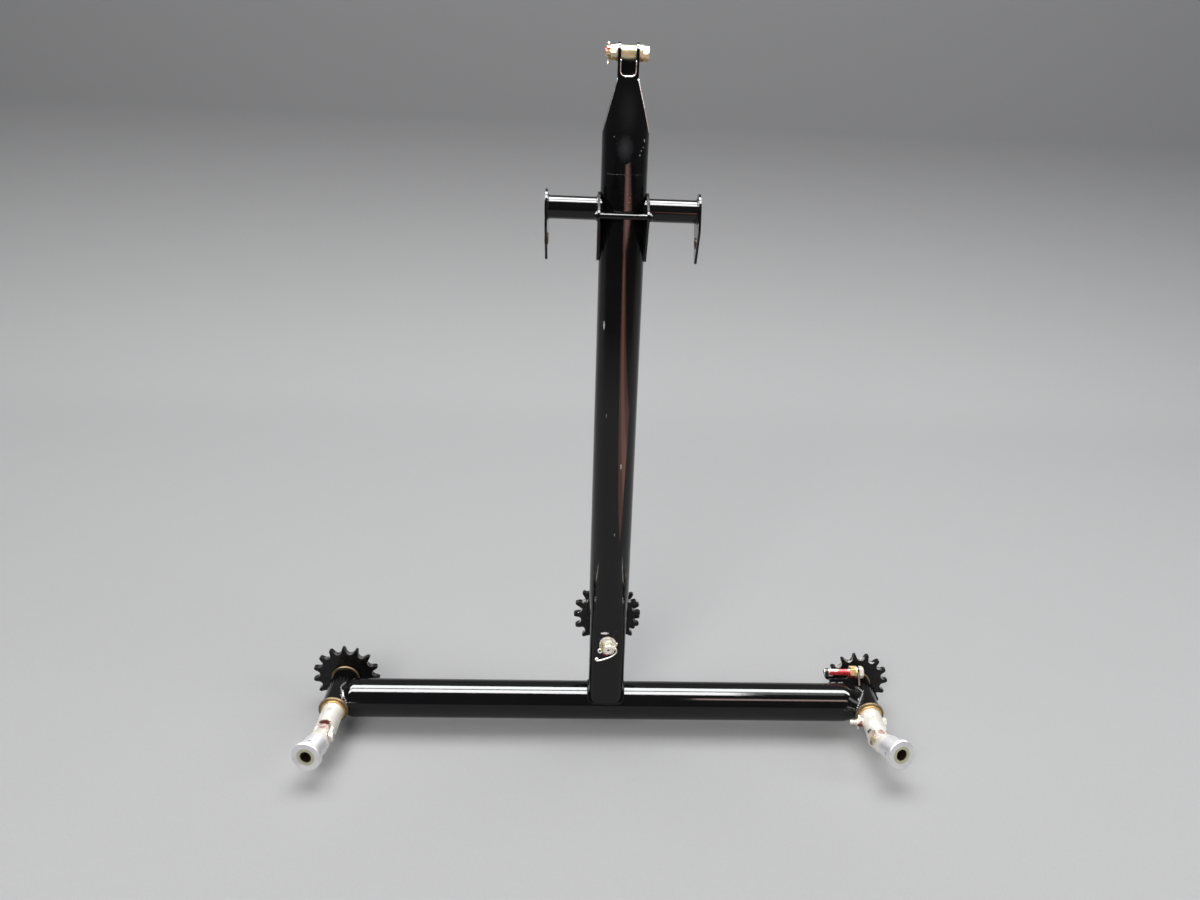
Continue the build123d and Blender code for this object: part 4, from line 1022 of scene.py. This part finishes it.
def makeStage(settings):
    floorZ, bend, wallY = settings["floorZ"], settings["bend"], settings["wallY"]
    mesh = bpy.data.meshes.new("stage")
    bm = bmesh.new()
    first = bm.verts.new((-settings["halfWidth"], settings["front"], floorZ))
    second = bm.verts.new((-settings["halfWidth"], wallY - bend, floorZ))
    bm.edges.new((first, second))
    spun = bmesh.ops.spin(
        bm,
        geom=[second],
        cent=(-settings["halfWidth"], wallY - bend, floorZ + bend),
        axis=(1, 0, 0),
        angle=math.radians(90),
        steps=settings["bendSteps"],
    )
    last = [v for v in spun["geom_last"] if isinstance(v, bmesh.types.BMVert)][0]
    top = bm.verts.new((-settings["halfWidth"], wallY, settings["height"]))
    bm.edges.new((last, top))
    swept = bmesh.ops.extrude_edge_only(bm, edges=list(bm.edges))
    moved = [v for v in swept["geom"] if isinstance(v, bmesh.types.BMVert)]
    bmesh.ops.translate(bm, verts=moved, vec=(2 * settings["halfWidth"], 0, 0))
    bmesh.ops.recalc_face_normals(bm, faces=list(bm.faces))
    bm.to_mesh(mesh)
    bm.free()
    for face in mesh.polygons:
        face.use_smooth = True
    material, tree, bsdf, where = newMaterial("stagePaper", settings["paper"])
    height = addNode(tree, "ShaderNodeSeparateXYZ", {"Vector": where}).outputs["Z"]
    rise = between(tree, height, floorZ + settings["riseFrom"], floorZ + settings["riseTo"])
    grain = between(tree, noise(tree, where, settings["grainScale"], 2.0), 0.3, 0.7, 0.97, 1.03)
    colour = blendColour(tree, rise, settings["floorColour"], settings["wallColour"])
    # well in front of the object the paper darkens, so that the enamel has a dark room to reflect
    inputs = {0: where, 1: (1, 1, 0)}
    flat = addNode(tree, "ShaderNodeVectorMath", inputs, operation="MULTIPLY").outputs["Vector"]
    away = addNode(tree, "ShaderNodeVectorMath", {0: flat}, operation="LENGTH").outputs["Value"]
    depth = addNode(tree, "ShaderNodeSeparateXYZ", {"Vector": where}).outputs["Y"]
    front = between(tree, depth, settings["fadeFrom"], settings["fadeTo"])
    fade = calc(tree, "MULTIPLY", between(tree, away, settings["paleReach"], settings["farReach"]), front)
    colour = blendColour(tree, fade, colour, settings["farColour"])
    toned = addNode(tree, "ShaderNodeVectorMath", {0: colour}, operation="SCALE")
    tree.links.new(grain, toned.inputs["Scale"])
    feed(tree, bsdf, Base_Color=toned.outputs["Vector"])
    mesh.materials.append(material)
    stage = bpy.data.objects.new("stage", mesh)
    bpy.context.scene.collection.objects.link(stage)


makeStage(stageSettings)
print("stage made")

# each lamp: place, point it looks at, size along and across, power, colour, what it does:
# "shine" is seen in gloss alone, "fill" lights without showing in gloss, "both" does both
lamps = {
    "ceilingFront": {
        "at": (-1.3, -0.56, 2.3),
        "to": (-1.3, 0, -0.49),
        "size": (3.8, 0.9),
        "power": 370,
        "colour": (1, 0.99, 1),
        "does": "shine",
    },
    "ceilingBack": {
        "at": (0, 0.66, 2.35),
        "to": (0, 0, -0.49),
        "size": (6, 0.98),
        "power": 600,
        "colour": (0.97, 1, 1),
        "does": "shine",
    },
    "warmHigh": {
        "at": (0.62, -1.14, 0.63),
        "to": (0.62, 0, -0.49),
        "size": (0.7, 0.24),
        "power": 5.0,
        "colour": (1, 0.72, 0.64),
        "does": "shine",
    },
    "ceilingSoft": {
        "at": (0, 0.25, 2),
        "to": (0, 0, -0.49),
        "size": (2.2, 1.7),
        "power": 38,
        "colour": (1, 1, 1),
        "does": "both",
    },
    "frontSoft": {
        "at": (-0.7, -2.2, 1.3),
        "to": (0, 0, -0.3),
        "size": (1, 1),
        "power": 34,
        "colour": (1, 0.99, 0.97),
        "does": "fill",
    },
    "rightSoft": {
        "at": (2, -0.7, 0.8),
        "to": (0, 0, -0.3),
        "size": (0.8, 1.2),
        "power": 12,
        "colour": (0.98, 0.99, 1),
        "does": "both",
    },
    "warmNear": {
        "at": (0.5, -1.15, -0.45),
        "to": (0.5, -1.15, 0.5),
        "size": (0.55, 1.9),
        "power": 6.0,
        "colour": (1, 0.42, 0.3),
        "does": "shine",
    },
    "warmCore": {
        "at": (0.46, -1.15, -0.44),
        "to": (0.46, -1.15, 0.5),
        "size": (0.22, 1.9),
        "power": 2.6,
        "colour": (1, 0.5, 0.36),
        "does": "shine",
    },
    "warmFar": {
        "at": (1.15, -4.2, -0.45),
        "to": (1.15, -4.2, 0.5),
        "size": (1.9, 4),
        "power": 62,
        "colour": (1, 0.5, 0.42),
        "does": "shine",
    },
    "warmFarCore": {
        "at": (0.98, -4.2, -0.44),
        "to": (0.98, -4.2, 0.5),
        "size": (0.8, 4),
        "power": 24,
        "colour": (1, 0.56, 0.44),
        "does": "shine",
    },
}


def aimed(obj, at, to):
    obj.location = at
    obj.rotation_euler = (Vector(to) - Vector(at)).to_track_quat("-Z", "Y").to_euler()


for name, lamp in lamps.items():
    light = bpy.data.lights.new(name, "AREA")
    light.shape = "RECTANGLE"
    light.size, light.size_y = lamp["size"]
    light.energy = lamp["power"]
    light.color = lamp["colour"]
    holder = bpy.data.objects.new(name, light)
    bpy.context.scene.collection.objects.link(holder)
    aimed(holder, lamp["at"], lamp["to"])
    holder.visible_camera = False
    holder.visible_diffuse = lamp["does"] != "shine"
    holder.visible_glossy = lamp["does"] != "fill"

roomLook = {"Color": (0.92, 0.95, 1.0, 1.0), "Strength": 0.13}
world = bpy.data.worlds.new("softRoom")
world.use_nodes = True
for key, value in roomLook.items():
    world.node_tree.nodes["Background"].inputs[key].default_value = value
bpy.context.scene.world = world
print("lamps set")

# the photograph's view: focal length in pixels of its 1200 wide frame, camera axes and place
cameraSettings = {
    "focalPixels": 994.86,
    "frameWidth": 1200.0,
    "sensorWidth": 36.0,
    "clipStart": 0.01,
    "centreRight": 36.76,
    "centreDown": 1.48,
    "place": (-28.39, -840.49, 124.07),
    "right": (0.99826, -0.04118, 0.0422),
    "up": (-0.02362, 0.37655, 0.9261),
}


def makeCamera(settings):
    data = bpy.data.cameras.new("photoView")
    data.sensor_fit = "HORIZONTAL"
    data.sensor_width = settings["sensorWidth"]
    data.lens = settings["focalPixels"] / settings["frameWidth"] * data.sensor_width
    data.shift_x = -settings["centreRight"] / settings["frameWidth"]
    data.shift_y = settings["centreDown"] / settings["frameWidth"]
    data.clip_start = settings["clipStart"]
    right = Vector(settings["right"]).normalized()
    back = right.cross(Vector(settings["up"])).normalized()
    up = back.cross(right)
    camera = bpy.data.objects.new("photoView", data)
    turn = Matrix((right, up, back)).transposed().to_4x4()
    camera.matrix_world = Matrix.Translation(Vector(settings["place"]) * mm) @ turn
    bpy.context.scene.collection.objects.link(camera)
    bpy.context.scene.camera = camera


makeCamera(cameraSettings)
bpy.context.scene.view_settings.view_transform = "Standard"
print("camera placed")
